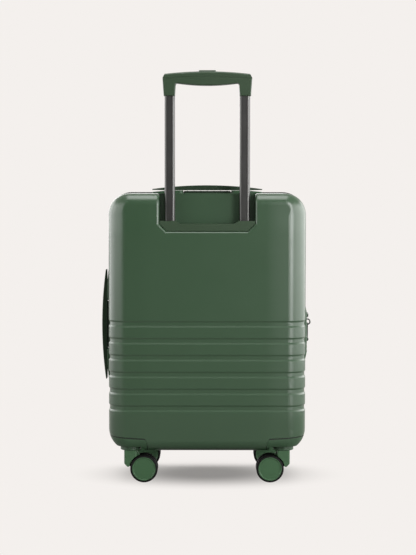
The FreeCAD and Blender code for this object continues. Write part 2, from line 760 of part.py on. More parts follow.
def make_bezel():
    half = POCKET_HALF - SEAM
    low = POCKET_HALF_LOW - SEAM
    floor = POCKET_FLOOR_Z
    dip = BEZEL_TOP - BEZEL_DIP
    outline = [(-low, floor), (low, floor), (half, floor + POCKET_CORNER), (half, BEZEL_TOP),
               (BEZEL_DIP_HALF + BEZEL_DIP_SLOPE, BEZEL_TOP), (BEZEL_DIP_HALF, dip),
               (-BEZEL_DIP_HALF, dip), (-BEZEL_DIP_HALF - BEZEL_DIP_SLOPE, BEZEL_TOP),
               (-half, BEZEL_TOP), (-half, floor + POCKET_CORNER)]
    bezel = profile_xz(outline, BACK_Y + BEZEL_SETBACK, BACK_Y + POCKET_DEPTH - SEAM)
    bezel = round_all(bezel, BEZEL_EDGE_R, lambda b: b.YMax < BACK_Y + BEZEL_SETBACK + NEAR
                      and b.ZMax < BEZEL_TOP - BEZEL_DIP - NEAR)
    low_end = POCKET_FLOOR_Z - SHORT_MARGIN
    bezel = bezel.cut(at_tubes(tube_block(0, TUBE_GAP, low_end, BEZEL_TOP + SHORT_MARGIN)))
    bezel = bezel.cut(at_tubes(tube_block(1, 0, low_end, OUTER_TUBE_TOP)))
    add("pocket_bezel", bezel)


def make_tubes():
    add("outer_tubes", *at_tubes(tube(1, OUTER_TUBE_BOTTOM, OUTER_TUBE_TOP)))
    middle = tube(0, MIDDLE_TUBE_BOTTOM, MIDDLE_TUBE_TOP)
    size_y = TUBE_SIZE_Y / 2
    for face in (-1, 1):
        y = face * size_y
        middle = middle.cut(box(-TUBE_CHANNEL / 2, TUBE_CHANNEL / 2, y - TUBE_CHANNEL_DEPTH,
                                y + TUBE_CHANNEL_DEPTH, 0, GRIP_TOP))
    add("middle_tubes", *at_tubes(middle))
    inner = tube(-1, INNER_TUBE_BOTTOM, INNER_TUBE_TOP)
    latch_z = INNER_TUBE_BOTTOM + PLUG_HEIGHT / 2
    size_x = tube_size(-1)[0]
    window = rod(LATCH_R + POST_GAP, vec(-size_x, 0, latch_z), vec(0, 0, latch_z))
    add("inner_tubes", *at_tubes(inner.cut(window)))
    plug = tube_block(-1, -TUBE_WALL - SEAM / 2, INNER_TUBE_BOTTOM, INNER_TUBE_BOTTOM + PLUG_HEIGHT)
    plug = plug.cut(rod(LATCH_R + AXLE_FIT, vec(-size_x, 0, latch_z), vec(size_x / 4, 0, latch_z)))
    bore = rod(ROD_R + POST_GAP, vec(0, 0, latch_z + LATCH_R + BUTTON_TRAVEL / 4),
               vec(0, 0, GRIP_TOP))
    add("inner_plugs", *at_tubes(plug.cut(bore)))
    reach = size_x / 2
    latch = rod(LATCH_R, vec(-reach, 0, latch_z), vec(LATCH_LENGTH - reach, 0, latch_z))
    left, right = at_tubes(latch)
    add("latch_left", left)
    add("latch_right", right)
    foot_x, foot_y, corner = tube_size(1)
    foot = tube_section(foot_x + 2 * FOOT_WALL, foot_y + 2 * FOOT_WALL, corner,
                        SHELL_BOTTOM + WALL, OUTER_TUBE_BOTTOM + FOOT_HEIGHT)
    socket = tube_block(1, 0, OUTER_TUBE_BOTTOM, OUTER_TUBE_BOTTOM + FOOT_HEIGHT + SHORT_MARGIN)
    room = case_block(WALL + SEAM, MARGIN)
    feet = [f.common(room) for f in at_tubes(foot.cut(socket))]
    add("tube_feet", *feet)


def grip_top_z(x):
    """Height of the arched top at a distance from the middle."""
    return GRIP_TOP - GRIP_ARCH * (x / GRIP_HALF_TOP)**2


def make_grip():
    half_y = GRIP_DEPTH / 2
    top_end = COVER_Z - GRIP_ARCH + GRIP_END_LIFT
    tube_edge = TUBE_SPACING / 2 - TUBE_SIZE_X / 2
    beam_end = BEAM_Z + BEAM_END_LIFT
    points = [
        (-GRIP_HALF_END, LEG_Z), (-GRIP_HALF_TOP, top_end),
        ((0, COVER_Z), (GRIP_HALF_TOP, top_end)), (GRIP_HALF_END, LEG_Z), (tube_edge, LEG_Z),
        (tube_edge - LEG_TAPER, beam_end),
        ((0, BEAM_Z - GRIP_BELLY), (LEG_TAPER - tube_edge, beam_end)),
        (-tube_edge, LEG_Z)]
    body = profile_xz(points, -half_y, half_y)
    body = round_all(body, GRIP_INNER_R, lambda b: b.YLength > NEAR
                     and LEG_Z + NEAR < b.ZMin < beam_end + NEAR)
    body = round_all(body, GRIP_EDGE_R, lambda b: b.YLength < NEAR and b.ZMin < COVER_Z - GRIP_ARCH)
    hollow_low = INNER_TUBE_TOP + CHANNEL_GAP
    half_bar = TUBE_SPACING / 2 + ROD_R + CHANNEL_END
    hollow = box(-half_bar, half_bar, -GRIP_CHANNEL / 2, GRIP_CHANNEL / 2, hollow_low, GRIP_TOP)
    body = moved(body, 0, TUBE_Y, 0).cut(moved(hollow, 0, TUBE_Y, 0))
    body = body.cut(at_tubes(tube_block(-1, 0, LEG_Z - SHORT_MARGIN, INNER_TUBE_TOP)))
    body = body.cut(at_tubes(rod(ROD_R + POST_GAP, vec(0, 0, LEG_Z), vec(0, 0, GRIP_TOP))))
    add("grip_body", body)
    cover_half = GRIP_HALF_TOP - COVER_END
    cover = profile_xz([
        (-GRIP_HALF_TOP, top_end + SEAM), (-cover_half, grip_top_z(cover_half)),
        ((0, GRIP_TOP), (cover_half, grip_top_z(cover_half))), (GRIP_HALF_TOP, top_end + SEAM),
        ((0, COVER_Z + SEAM), (-GRIP_HALF_TOP, top_end + SEAM))], -half_y, half_y)
    cover = round_all(cover, COVER_EDGE_R, lambda b: b.ZMax > GRIP_TOP - NEAR and b.YLength < NEAR)
    slot_x = BUTTON_LENGTH / 2 + BUTTON_GAP
    slot_y = BUTTON_DEPTH / 2 + BUTTON_GAP
    slot = box(-slot_x, slot_x, -slot_y, slot_y, COVER_Z - MARGIN, GRIP_TOP + MARGIN)
    cover = moved(cover.cut(slot), 0, TUBE_Y, 0)
    add("grip_cover", cover)
    button_top = GRIP_TOP + BUTTON_PROUD
    bar_top = top_end - SEAM
    bar_low = bar_top - BAR_HEIGHT
    button = box(-BUTTON_LENGTH / 2, BUTTON_LENGTH / 2, -BUTTON_DEPTH / 2, BUTTON_DEPTH / 2,
                 COVER_Z + BUTTON_TRAVEL + SEAM, button_top)
    button = round_all(button, BUTTON_EDGE_R, lambda b: b.ZMax > button_top - NEAR or b.ZLength > NEAR)
    stem_half = GRIP_CHANNEL / 2 - STEM_GAP
    stem = box(-BUTTON_LENGTH / 3, BUTTON_LENGTH / 3, -stem_half, stem_half,
               bar_top, COVER_Z + BUTTON_TRAVEL + SHORT_MARGIN)
    add("grip_button", moved(button.fuse(stem).removeSplitter(), 0, TUBE_Y, 0))
    bar_x = TUBE_SPACING / 2 + ROD_R
    bar_y = GRIP_CHANNEL / 2 - CHANNEL_GAP
    bar = box(-bar_x, bar_x, -bar_y, bar_y, bar_low, bar_top)
    rod_end = INNER_TUBE_BOTTOM + PLUG_HEIGHT / 2 + LATCH_R + BUTTON_TRAVEL + ROD_END_GAP
    rods = at_tubes(rod(ROD_R, vec(0, 0, rod_end), vec(0, 0, bar_low + SHORT_MARGIN)))
    add("push_bar", moved(bar, 0, TUBE_Y, 0).fuse(rods).removeSplitter())


def make_lock():
    half = LOCK_WIDTH / 2
    length = LOCK_LENGTH / 2
    face = SIDE_X + LOCK_PROUD
    flat = length - LOCK_RAMP
    outline = [(SIDE_X, LOCK_Z - length), (face, LOCK_Z - flat), (face, LOCK_Z + flat),
               (SIDE_X, LOCK_Z + length)]
    cover = profile_xz(outline, LOCK_Y - half, LOCK_Y + half)
    cover = round_all(cover, LOCK_BEND_R, lambda b: b.XMin > face - NEAR and b.YLength > half)
    cover = round_all(cover, LOCK_EDGE_R, lambda b: b.XMax > SIDE_X + NEAR and b.YLength < NEAR)
    core = lock_core(0, SIDE_X - LOCK_INSIDE, SIDE_X + SHORT_MARGIN)
    body = cover.fuse(core).removeSplitter()
    dial_x = face + DIAL_PROUD - DIAL_R
    dials = []
    for i in (-1, 0, 1):
        z = LOCK_Z + DIAL_Z + i * DIAL_PITCH
        low = vec(dial_x, LOCK_Y, z - DIAL_WIDTH / 2)
        high = vec(dial_x, LOCK_Y, z + DIAL_WIDTH / 2)
        gap = vec(0, 0, DIAL_ROOM)
        room = rod(DIAL_R + DIAL_ROOM, low - gap, high + gap)
        body = body.cut(room)
        wheel = rod(DIAL_R, low, high)
        wheel = round_all(wheel, DIAL_EDGE_R, lambda b: b.ZLength < NEAR)
        dials.append(wheel.cut(rod(DIAL_PIN_R + DIAL_FIT, low, high)))
    ends = DIAL_PITCH * 2
    pin = rod(DIAL_PIN_R, vec(dial_x, LOCK_Y, LOCK_Z + DIAL_Z - ends),
              vec(dial_x, LOCK_Y, LOCK_Z + DIAL_Z + ends))
    body = body.fuse(pin)
    for number, wheel in enumerate(dials, 1):
        add("lock_dial_%d" % number, wheel)
    button_z = LOCK_Z + LOCK_BUTTON_Z
    half_w = LOCK_BUTTON_WIDTH / 2
    half_l = LOCK_BUTTON_LENGTH / 2
    room_w = half_w + LOCK_BUTTON_GAP
    room_l = half_l + LOCK_BUTTON_GAP
    recess = box(face - LOCK_RECESS, face + SHORT_MARGIN, LOCK_Y - room_w, LOCK_Y + room_w,
                 button_z - room_l - LOCK_BUTTON_TRAVEL, button_z + room_l)
    dock_z = SLIDER_Z + SLIDER_PITCH
    dock_end = LOCK_Y + half
    dock = box(face - DOCK_DEPTH, face + SHORT_MARGIN, dock_end - DOCK_LENGTH,
               dock_end + SHORT_MARGIN, dock_z - DOCK_HALF, dock_z + DOCK_HALF)
    add("lock_body", body.cut([recess, dock]))
    button = box(face - LOCK_RECESS + SEAM, face + LOCK_BUTTON_PROUD,
                 LOCK_Y - half_w, LOCK_Y + half_w, button_z - half_l, button_z + half_l)
    add("lock_button", round_all(button, LOCK_BUTTON_R, lambda b: b.XMin > face or b.XLength > NEAR))


def slider_body(z):
    foot_x = SIDE_X + ZIP_PROUD + SLIDER_GAP
    half = SLIDER_LENGTH / 2
    body = box(foot_x, foot_x + SLIDER_HEIGHT, -SLIDER_WIDTH / 2, SLIDER_WIDTH / 2,
               z - half, z + half)
    return round_all(body, SLIDER_EDGE_R)


def make_lower_slider():
    """The slider with a round loop, and its pull tab hanging from the loop."""
    reach = SIDE_X + SIDE_REACH
    loop_x = reach - LOOP_R
    loop = Part.makeTorus(LOOP_R - LOOP_BAR, LOOP_BAR, vec(loop_x, 0, SLIDER_Z), vec(0, 1, 0))
    add("zip_slider_lower", slider_body(SLIDER_Z).fuse(loop).removeSplitter())
    eye_z = SLIDER_Z - LOOP_R + LOOP_BAR
    half = TAB_WIDTH / 2
    neck = TAB_NECK / 2
    low = eye_z - TAB_LENGTH
    tab = profile_yz([
        (-half, eye_z), ((0, eye_z + half), (half, eye_z)), (neck, eye_z - 2 * half),
        (neck, low + 2 * half), (half, low + half), ((0, low), (-half, low + half)),
        (-neck, low + 2 * half), (-neck, eye_z - 2 * half)],
        loop_x - TAB_THICK / 2, loop_x + TAB_THICK / 2)
    tab = round_all(tab, TAB_THICK * TAB_EDGE_SHARE, lambda b: b.XLength < NEAR)
    bead = Part.makeSphere(TAB_BEAD_R, vec(loop_x, 0, low + half))
    eye = rod(LOOP_BAR + TAB_PLAY, vec(loop_x - TAB_THICK, 0, eye_z),
              vec(loop_x + TAB_THICK, 0, eye_z))
    add("zip_pull_lower", tab.fuse(bead).cut(eye).removeSplitter())


def make_upper_slider():
    """The slider whose short pull lies docked across the lock."""
    z = SLIDER_Z + SLIDER_PITCH
    top = SIDE_X + ZIP_PROUD + SLIDER_GAP + SLIDER_HEIGHT
    eye_x = top + BRIDGE_HEIGHT
    foot = SLIDER_LENGTH / 2 - 2 * BRIDGE_R
    body = slider_body(z)
    for end in (z - foot, z + foot):
        body = body.fuse(rod(BRIDGE_R, vec(top - BRIDGE_LAP, 0, end), vec(eye_x, 0, end)))
    body = body.fuse(rod(BRIDGE_R, vec(eye_x, 0, z - foot - BRIDGE_R),
                         vec(eye_x, 0, z + foot + BRIDGE_R)))
    add("zip_slider_upper", body.removeSplitter())
    play = BRIDGE_R + TAB_PLAY
    collar = rod(play + COLLAR_WALL, vec(eye_x, 0, z - PULL_HALF), vec(eye_x, 0, z + PULL_HALF))
    blade = box(eye_x - TAB_THICK / 2, eye_x + TAB_THICK / 2, -DOCKED_PULL_LENGTH, 0,
                z - PULL_HALF, z + PULL_HALF)
    bore = rod(play, vec(eye_x, 0, z - foot), vec(eye_x, 0, z + foot))
    add("zip_pull_upper", collar.fuse(blade).cut(bore).removeSplitter())


BACK_BLOCK = case_block(0, -ZIP_Y)
BACK_INSIDE = case_block(WALL, MARGIN)

make_back_shell()
make_front_shell()
make_handles()
make_linings()
make_zip()
make_housings()
make_casters()
make_bezel()
make_tubes()
make_grip()
make_lock()
make_upper_slider()
make_lower_slider()

os.makedirs("parts", exist_ok=True)
for name, shape in parts.items():
    shape.exportStep("parts/" + name + ".step")
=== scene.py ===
"""Finishes, zip, cloth, dials and studio for a hard shell suitcase on four casters."""
import json
import math

import bmesh
import bpy
import numpy as np
from mathutils import Matrix, Vector, noise

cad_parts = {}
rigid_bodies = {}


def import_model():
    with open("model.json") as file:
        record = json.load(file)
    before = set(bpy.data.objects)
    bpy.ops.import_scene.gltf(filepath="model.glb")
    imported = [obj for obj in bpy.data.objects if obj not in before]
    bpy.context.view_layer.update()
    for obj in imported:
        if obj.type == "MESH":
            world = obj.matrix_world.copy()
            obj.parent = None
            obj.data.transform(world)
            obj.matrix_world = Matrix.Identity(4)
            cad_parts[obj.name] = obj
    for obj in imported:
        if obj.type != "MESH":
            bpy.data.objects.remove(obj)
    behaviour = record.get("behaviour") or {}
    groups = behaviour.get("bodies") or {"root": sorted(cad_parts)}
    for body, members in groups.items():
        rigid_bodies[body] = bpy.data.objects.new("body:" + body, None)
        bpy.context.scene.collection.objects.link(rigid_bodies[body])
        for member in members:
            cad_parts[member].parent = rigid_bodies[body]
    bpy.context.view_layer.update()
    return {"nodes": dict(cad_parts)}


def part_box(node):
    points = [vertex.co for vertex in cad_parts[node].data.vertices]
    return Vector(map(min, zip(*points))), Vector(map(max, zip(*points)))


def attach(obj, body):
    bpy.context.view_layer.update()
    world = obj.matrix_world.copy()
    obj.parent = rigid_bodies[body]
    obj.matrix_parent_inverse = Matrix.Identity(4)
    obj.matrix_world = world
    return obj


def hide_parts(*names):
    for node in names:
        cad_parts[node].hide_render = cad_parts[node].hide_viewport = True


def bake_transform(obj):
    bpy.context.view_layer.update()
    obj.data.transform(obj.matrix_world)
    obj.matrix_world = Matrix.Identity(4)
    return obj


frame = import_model()

bl_info = {
    "name": "Suitcase Finisher",
    "version": (1, 0, 0),
    "blender": (4, 5, 0),
    "location": "3D View > Sidebar > Suitcase",
    "description": "Gives a packed hard shell suitcase its finishes, zip, cloth and studio",
    "category": "Object",
}

CORNERS = [(end, side) for end in ("back", "front") for side in ("left", "right")]
SHARP_ANGLE = 0.7  # edges sharper than this, in radians, stay sharp
X, Y, Z = np.eye(3)


def display_colour(red, green, blue):
    """Linear colour from display values of 0 to 255."""
    shares = [value / 255 for value in (red, green, blue)]
    return tuple(v / 12.92 if v <= 0.04045 else ((v + 0.055) / 1.055) ** 2.4 for v in shares)


def colour_property(name, description, default):
    return bpy.props.FloatVectorProperty(
        name=name, description=description, subtype="COLOR", size=3, min=0, max=1,
        default=display_colour(*default))


def length_property(name, description, default):
    return bpy.props.FloatProperty(
        name=name, description=description, default=default, min=0, soft_max=1,
        precision=5, unit="LENGTH", subtype="DISTANCE")


def power_property(name, description, default):
    return bpy.props.FloatProperty(
        name=name, description=f"{description}, in watts", default=default, min=0)


def share_property(name, description, default):
    return bpy.props.FloatProperty(
        name=name, description=description, default=default, min=0, max=1)


def angle_property(name, description, degrees):
    return bpy.props.FloatProperty(
        name=name, description=description, default=math.radians(degrees),
        subtype="ANGLE", unit="ROTATION")


class SuitcaseColours(bpy.types.PropertyGroup):
    """Colours of the suitcase's finishes."""
    shell: colour_property("Shell", "Moulded shells and corner housings", (36, 58, 38))
    caster: colour_property("Caster", "Forks and hubs of the casters", (46, 74, 48))
    grip: colour_property("Grip", "Trolley grip and its bezel", (32, 49, 31))
    handle: colour_property("Handle", "Carry handles and zip pulls", (16, 34, 17))
    welt: colour_property("Welt", "Welts beside the zip", (8, 15, 9))
    plate: colour_property("Handle plate", "Plates that hold the carry handles", (40, 64, 43))
    lock: colour_property("Lock", "Lock cover", (38, 61, 40))
    tyre: colour_property("Tyre", "Rubber of the tyres", (5, 6, 5))
    tube: colour_property("Tube", "Dark trolley tubes", (70, 70, 69))
    bright: colour_property("Bright metal", "Bare tubes, axles and screws", (150, 150, 148))
    slider: colour_property("Slider", "Zip sliders", (58, 60, 58))
    zip: colour_property("Zip", "Zip tape and coil", (24, 33, 25))
    thread: colour_property("Thread", "Stitching", (48, 62, 49))
    lining: colour_property("Lining", "Lining cloth", (104, 112, 104))
    divider: colour_property("Divider", "Divider cloth", (84, 92, 85))
    webbing: colour_property("Webbing", "Packing straps and binding", (34, 40, 35))
    digits: colour_property("Digits", "Numbers on the dials", (214, 216, 212))


class SuitcaseSizes(bpy.types.PropertyGroup):
    """Sizes of the pieces that the finisher adds."""
    corner: length_property("Corner", "Corner radius of the case seen from the front", 0.040)
    base_length: length_property("Base length", "Length of the strips under the handles", 0.088)
    base_width: length_property("Base width", "Width of the strips under the handles", 0.020)
    base_height: length_property("Base height", "Height of the strips under the handles", 0.0044)
    welt_proud: length_property("Welt proud", "How far the welts stand out of the shell", 0.0020)
    welt: length_property("Welt", "Radius of the welts beside the zip", 0.0018)
    tape_half: length_property("Tape half", "Half width of the closed zip", 0.006)
    tape_proud: length_property("Tape proud", "How far the tape stands out of the shell", 0.0003)
    coil_pitch: length_property("Coil pitch", "Distance between zip coils of one half", 0.0025)
    coil_proud: length_property("Coil proud", "Top of the coil above the shell", 0.0013)
    stitch: length_property("Stitch", "Length of one stitch", 0.0023)
    stitch_pitch: length_property("Stitch pitch", "Distance between stitches", 0.0032)
    thread: length_property("Thread", "Thickness of the sewing thread", 0.00045)
    hinge_low: length_property("Hinge low", "Lower end of the cloth hinge", 0.170)
    hinge_high: length_property("Hinge high", "Upper end of the cloth hinge", 0.440)
    weave: length_property("Weave", "Thread spacing of tapes and webbing", 0.0007)
    cloth_weave: length_property("Cloth weave", "Thread spacing of the lining", 0.0011)
    piping: length_property("Piping", "Radius of the piping round the lining", 0.0013)


class SuitcaseStudio(bpy.types.PropertyGroup):
    """Camera, lamps and background."""
    distance: length_property("Distance", "Camera in front of the back face", 2.90)
    height: length_property("Height", "Camera above the floor", 0.5426)
    aside: length_property("Aside", "How far beside the middle the camera aims", 0.0015)
    tilt: angle_property("Tilt", "Camera's downward tilt", 3.17)
    roll: angle_property("Roll", "Camera's roll", 0.06)
    lens: bpy.props.FloatProperty(name="Lens", description="Focal length in millimetres",
                                  default=102.8, min=1)
    paper: colour_property("Paper", "Background and floor", (244, 240, 237))
    key: power_property("Key", "Power of the lamp on the right", 76.0)
    side: power_property("Side", "Power of the lamp beside the case", 66.0)
    fill: power_property("Fill", "Power of the lamp on the left", 42.0)
    top: power_property("Top", "Power of the lamp overhead", 44.0)
    behind: power_property("Behind", "Power of the lamp behind the case", 35.0)
    rims: power_property("Rims", "Power of each lamp that edges the case from behind", 46.0)
    beneath: power_property("Beneath", "Power of the lamp that lights only the floor", 60.0)
    front: power_property("Front", "Power of the lamp in front", 4.0)
    ambient: share_property("Ambient", "Strength of the surrounding light", 0.12)
    floor_glow: share_property(
        "Floor glow", "Strength of the floor's evening out as glossy surfaces see it", 0.35)
    dim_side: share_property(
        "Dim side", "Strength of the surroundings behind the camera as glossy surfaces see them",
        0.15)


# ---- shader building ----

def add_node(tree, kind, settings=None, inputs=None):
    """A new node with its settings, its inputs linked or filled in."""
    node = tree.nodes.new(kind)
    for name, value in (settings or {}).items():
        setattr(node, name, value)
    for name, value in (inputs or {}).items():
        socket = node.inputs[name]
        if isinstance(value, bpy.types.NodeSocket):
            tree.links.new(value, socket)
        else:
            socket.default_value = value
    return node


def calc(tree, operation, first, second=0.0):
    node = add_node(tree, "ShaderNodeMath", {"operation": operation}, {0: first, 1: second})
    return node.outputs[0]


def spread(tree, value, low, high):
    """A value of 0 to 1 spread over another range."""
    node = add_node(tree, "ShaderNodeMapRange", None,
                    {"Value": value, "To Min": low, "To Max": high})
    return node.outputs["Result"]


def ease(tree, value, start, stop, low=0.0, high=1.0):
    """A value eased from low to high while another goes from start to stop."""
    node = add_node(tree, "ShaderNodeMapRange", {"interpolation_type": "SMOOTHSTEP"},
                    {"Value": value, "From Min": start, "From Max": stop,
                     "To Min": low, "To Max": high})
    return node.outputs["Result"]


def scaled(tree, vector, factor):
    return add_node(tree, "ShaderNodeVectorMath", {"operation": "SCALE"},
                    {0: vector, "Scale": factor}).outputs[0]


def stretched(tree, vector, factors):
    """A vector with its X, Y and Z multiplied by three factors."""
    return add_node(tree, "ShaderNodeVectorMath", {"operation": "MULTIPLY"},
                    {0: vector, 1: factors}).outputs[0]


def split(tree, vector):
    """X, Y and Z of a vector."""
    return add_node(tree, "ShaderNodeSeparateXYZ", None, {0: vector}).outputs


def noise_value(tree, place, scale, detail=2.0):
    node = add_node(tree, "ShaderNodeTexNoise", None,
                    {"Vector": place, "Scale": scale, "Detail": detail})
    return node.outputs["Fac"]


def bumped(tree, height, distance):
    """Normals bumped by a height, at its full distance in metres."""
    node = add_node(tree, "ShaderNodeBump", None,
                    {"Height": height, "Distance": distance, "Strength": 1.0})
    return node.outputs["Normal"]


def ray_kinds(tree):
    """Whether a ray is the camera's, and whether a glossy or clear surface sent it."""
    rays = tree.nodes.new("ShaderNodeLightPath").outputs
    mirrored = calc(tree, "MAXIMUM", rays["Is Glossy Ray"], rays["Is Transmission Ray"])
    return rays["Is Camera Ray"], mirrored


def new_group(name, inputs, outputs):
    """An empty shader group with named sockets, its inputs and its outputs."""
    tree = bpy.data.node_groups.new(name, "ShaderNodeTree")
    for label, kind, default in inputs:
        socket = tree.interface.new_socket(name=label, in_out="INPUT", socket_type=kind)
        socket.default_value = default
    for label, kind in outputs:
        tree.interface.new_socket(name=label, in_out="OUTPUT", socket_type=kind)
    entry = tree.nodes.new("NodeGroupInput")
    leave = tree.nodes.new("NodeGroupOutput")
    return tree, entry.outputs, leave.inputs


FLOAT = "NodeSocketFloat"
COLOUR = "NodeSocketColor"
VECTOR = "NodeSocketVector"


def object_place(tree):
    return tree.nodes.new("ShaderNodeTexCoord").outputs["Object"]


def make_grain_group():
    """Fine pebbled grain of a textured mould."""
    tree, given, out = new_group("Moulded Grain", [("Grain Size", FLOAT, 0.0006)],
                                 [("Height", FLOAT)])
    scale = calc(tree, "DIVIDE", 1.0, given["Grain Size"])
    place = object_place(tree)
    fine = noise_value(tree, place, scale, 1.0)
    cells = add_node(tree, "ShaderNodeTexVoronoi", {"feature": "SMOOTH_F1"},
                     {"Vector": place, "Scale": calc(tree, "MULTIPLY", scale, 0.55)})
    mixed = calc(tree, "ADD", calc(tree, "MULTIPLY", fine, 0.6),
                 calc(tree, "MULTIPLY", cells.outputs["Distance"], 0.4))
    tree.links.new(mixed, out["Height"])


def make_bow_group():
    """Height that falls away gently towards the edges of a moulded face."""
    tree, given, out = new_group(
        "Edge Bow",
        [("Middle X", FLOAT, 0.0), ("Middle Z", FLOAT, 0.0), ("Half Width", FLOAT, 0.18),
         ("Half Height", FLOAT, 0.23), ("Fall Start", FLOAT, 0.075), ("Fall End", FLOAT, 0.012),
         ("Drop", FLOAT, 0.0027)],
        [("Height", FLOAT)])
    place = split(tree, object_place(tree))
    falls = []
    for axis, middle, half in (("X", "Middle X", "Half Width"), ("Z", "Middle Z", "Half Height")):
        away = calc(tree, "ABSOLUTE", calc(tree, "SUBTRACT", place[axis], given[middle]))
        start = calc(tree, "SUBTRACT", given[half], given["Fall Start"])
        stop = calc(tree, "SUBTRACT", given[half], given["Fall End"])
        falls.append(ease(tree, away, start, stop))
    down = calc(tree, "MULTIPLY", calc(tree, "ADD", *falls), given["Drop"])
    tree.links.new(calc(tree, "MULTIPLY", down, -1.0), out["Height"])


def make_seam_group():
    """Mask of a narrow line along a corner housing's upper and inner borders, where painted shade
    stands in for the shaded gap to the shell.
    """
    tree, given, out = new_group(
        "Border Seam",
        [("Inner X", FLOAT, 0.112), ("Top Z", FLOAT, 0.089), ("Width", FLOAT, 0.0705),
         ("Slope", FLOAT, 0.071), ("Corner", FLOAT, 0.006), ("Line", FLOAT, 0.0013)],
        [("Mask", FLOAT)])
    place = split(tree, object_place(tree))
    beside = calc(tree, "SUBTRACT", calc(tree, "ABSOLUTE", place["X"]), given["Inner X"])
    inward = calc(tree, "SUBTRACT", given["Width"], beside)
    border = calc(tree, "SUBTRACT", given["Top Z"], calc(tree, "MULTIPLY", inward, given["Slope"]))
    near = add_node(tree, "ShaderNodeMath", {"operation": "SMOOTH_MIN"},
                    {0: beside, 1: calc(tree, "SUBTRACT", border, place["Z"]),
                     2: given["Corner"]}).outputs[0]
    tree.links.new(calc(tree, "LESS_THAN", near, given["Line"]), out["Mask"])


def make_drift_group():
    """Slow change of a colour over the surface, with a faint fine speckle."""
    tree, given, out = new_group(
        "Colour Drift",
        [("Colour", COLOUR, (0.5, 0.5, 0.5, 1)), ("Amount", FLOAT, 0.05), ("Size", FLOAT, 0.06)],
        [("Colour", COLOUR)])
    place = object_place(tree)
    broad = noise_value(tree, place, calc(tree, "DIVIDE", 1.0, given["Size"]), 3.0)
    speckle = noise_value(tree, place, calc(tree, "DIVIDE", 40.0, given["Size"]), 1.0)
    both = calc(tree, "ADD", calc(tree, "MULTIPLY", broad, 0.75),
                calc(tree, "MULTIPLY", speckle, 0.25))
    low = calc(tree, "SUBTRACT", 1.0, given["Amount"])
    high = calc(tree, "ADD", 1.0, given["Amount"])
    bright = spread(tree, both, low, high)
    tree.links.new(scaled(tree, given["Colour"], bright), out["Colour"])


def make_marks_group():
    """Roughness that changes where a surface has been handled."""
    tree, given, out = new_group(
        "Handling Marks",
        [("Roughness", FLOAT, 0.5), ("Amount", FLOAT, 0.06), ("Size", FLOAT, 0.04)],
        [("Roughness", FLOAT)])
    patches = noise_value(tree, object_place(tree), calc(tree, "DIVIDE", 1.0, given["Size"]), 5.0)
    low = calc(tree, "SUBTRACT", given["Roughness"], given["Amount"])
    high = calc(tree, "ADD", given["Roughness"], given["Amount"])
    tree.links.new(spread(tree, patches, low, high), out["Roughness"])


def make_weave_group():
    """Over and under threads of a plain weave."""
    tree, given, out = new_group(
        "Plain Weave", [("Place", VECTOR, (0, 0, 0)), ("Thread", FLOAT, 0.001)],
        [("Height", FLOAT), ("Over", FLOAT)])
    place = split(tree, given["Place"])
    along = calc(tree, "DIVIDE", place["X"], given["Thread"])
    across = calc(tree, "DIVIDE", place["Y"], given["Thread"])
    tread = calc(tree, "ADD", calc(tree, "FLOOR", along), calc(tree, "FLOOR", across))
    over = calc(tree, "FLOORED_MODULO", tread, 2.0)
    warp = calc(tree, "SINE", calc(tree, "MULTIPLY", calc(tree, "FRACT", along), math.pi))
    weft = calc(tree, "SINE", calc(tree, "MULTIPLY", calc(tree, "FRACT", across), math.pi))
    up = calc(tree, "MULTIPLY", over, warp)
    down = calc(tree, "MULTIPLY", calc(tree, "SUBTRACT", 1.0, over), weft)
    tree.links.new(calc(tree, "ADD", up, down), out["Height"])
    tree.links.new(over, out["Over"])


def make_drawn_group():
    """Fine lines that drawing leaves along a tube."""
    tree, given, out = new_group(
        "Drawn Lines", [("Line Size", FLOAT, 0.0003), ("Line Stretch", VECTOR, (1.0, 1.0, 0.02))],
        [("Height", FLOAT)])
    place = stretched(tree, object_place(tree), given["Line Stretch"])
    lines = noise_value(tree, place, calc(tree, "DIVIDE", 1.0, given["Line Size"]))
    tree.links.new(lines, out["Height"])


def use_group(tree, name, inputs):
    settings = {"node_tree": bpy.data.node_groups[name]}
    return add_node(tree, "ShaderNodeGroup", settings, inputs).outputs


def start_material(name):
    material = bpy.data.materials.new(name)
    material.use_nodes = True
    tree = material.node_tree
    return material, tree, tree.nodes["Principled BSDF"]


def set_sockets(shader, **values):
    for label, value in values.items():
        shader.inputs[label.replace("_", " ")].default_value = value


def drifting_colour(tree, colour, amount, size):
    return use_group(tree, "Colour Drift",
                     {"Colour": (*colour, 1), "Amount": amount, "Size": size})["Colour"]


def tint_and_wear(tree, shader, colour, roughness, drift, drift_size, marks, mark_size):
    """Feed a shader a slowly drifting colour and a roughness with handling marks."""
    tint = drifting_colour(tree, colour, drift, drift_size)
    tree.links.new(tint, shader.inputs["Base Color"])
    rough = use_group(tree, "Handling Marks",
                      {"Roughness": roughness, "Amount": marks, "Size": mark_size})
    tree.links.new(rough["Roughness"], shader.inputs["Roughness"])


def moulded(name, colour, roughness, grain=0.0006, depth=0.00002, drift=0.05, marks=0.05,
            level=0.3, metallic=0.0):
    """A moulded plastic or rubber with grain, a slow colour drift and handling marks."""
    material, tree, shader = start_material(name)
    tint_and_wear(tree, shader, colour, roughness, drift, 0.07, marks, 0.035)
    height = use_group(tree, "Moulded Grain", {"Grain Size": grain})["Height"]
    tree.links.new(bumped(tree, height, depth), shader.inputs["Normal"])
    set_sockets(shader, Specular_IOR_Level=level, Metallic=metallic)
    return material


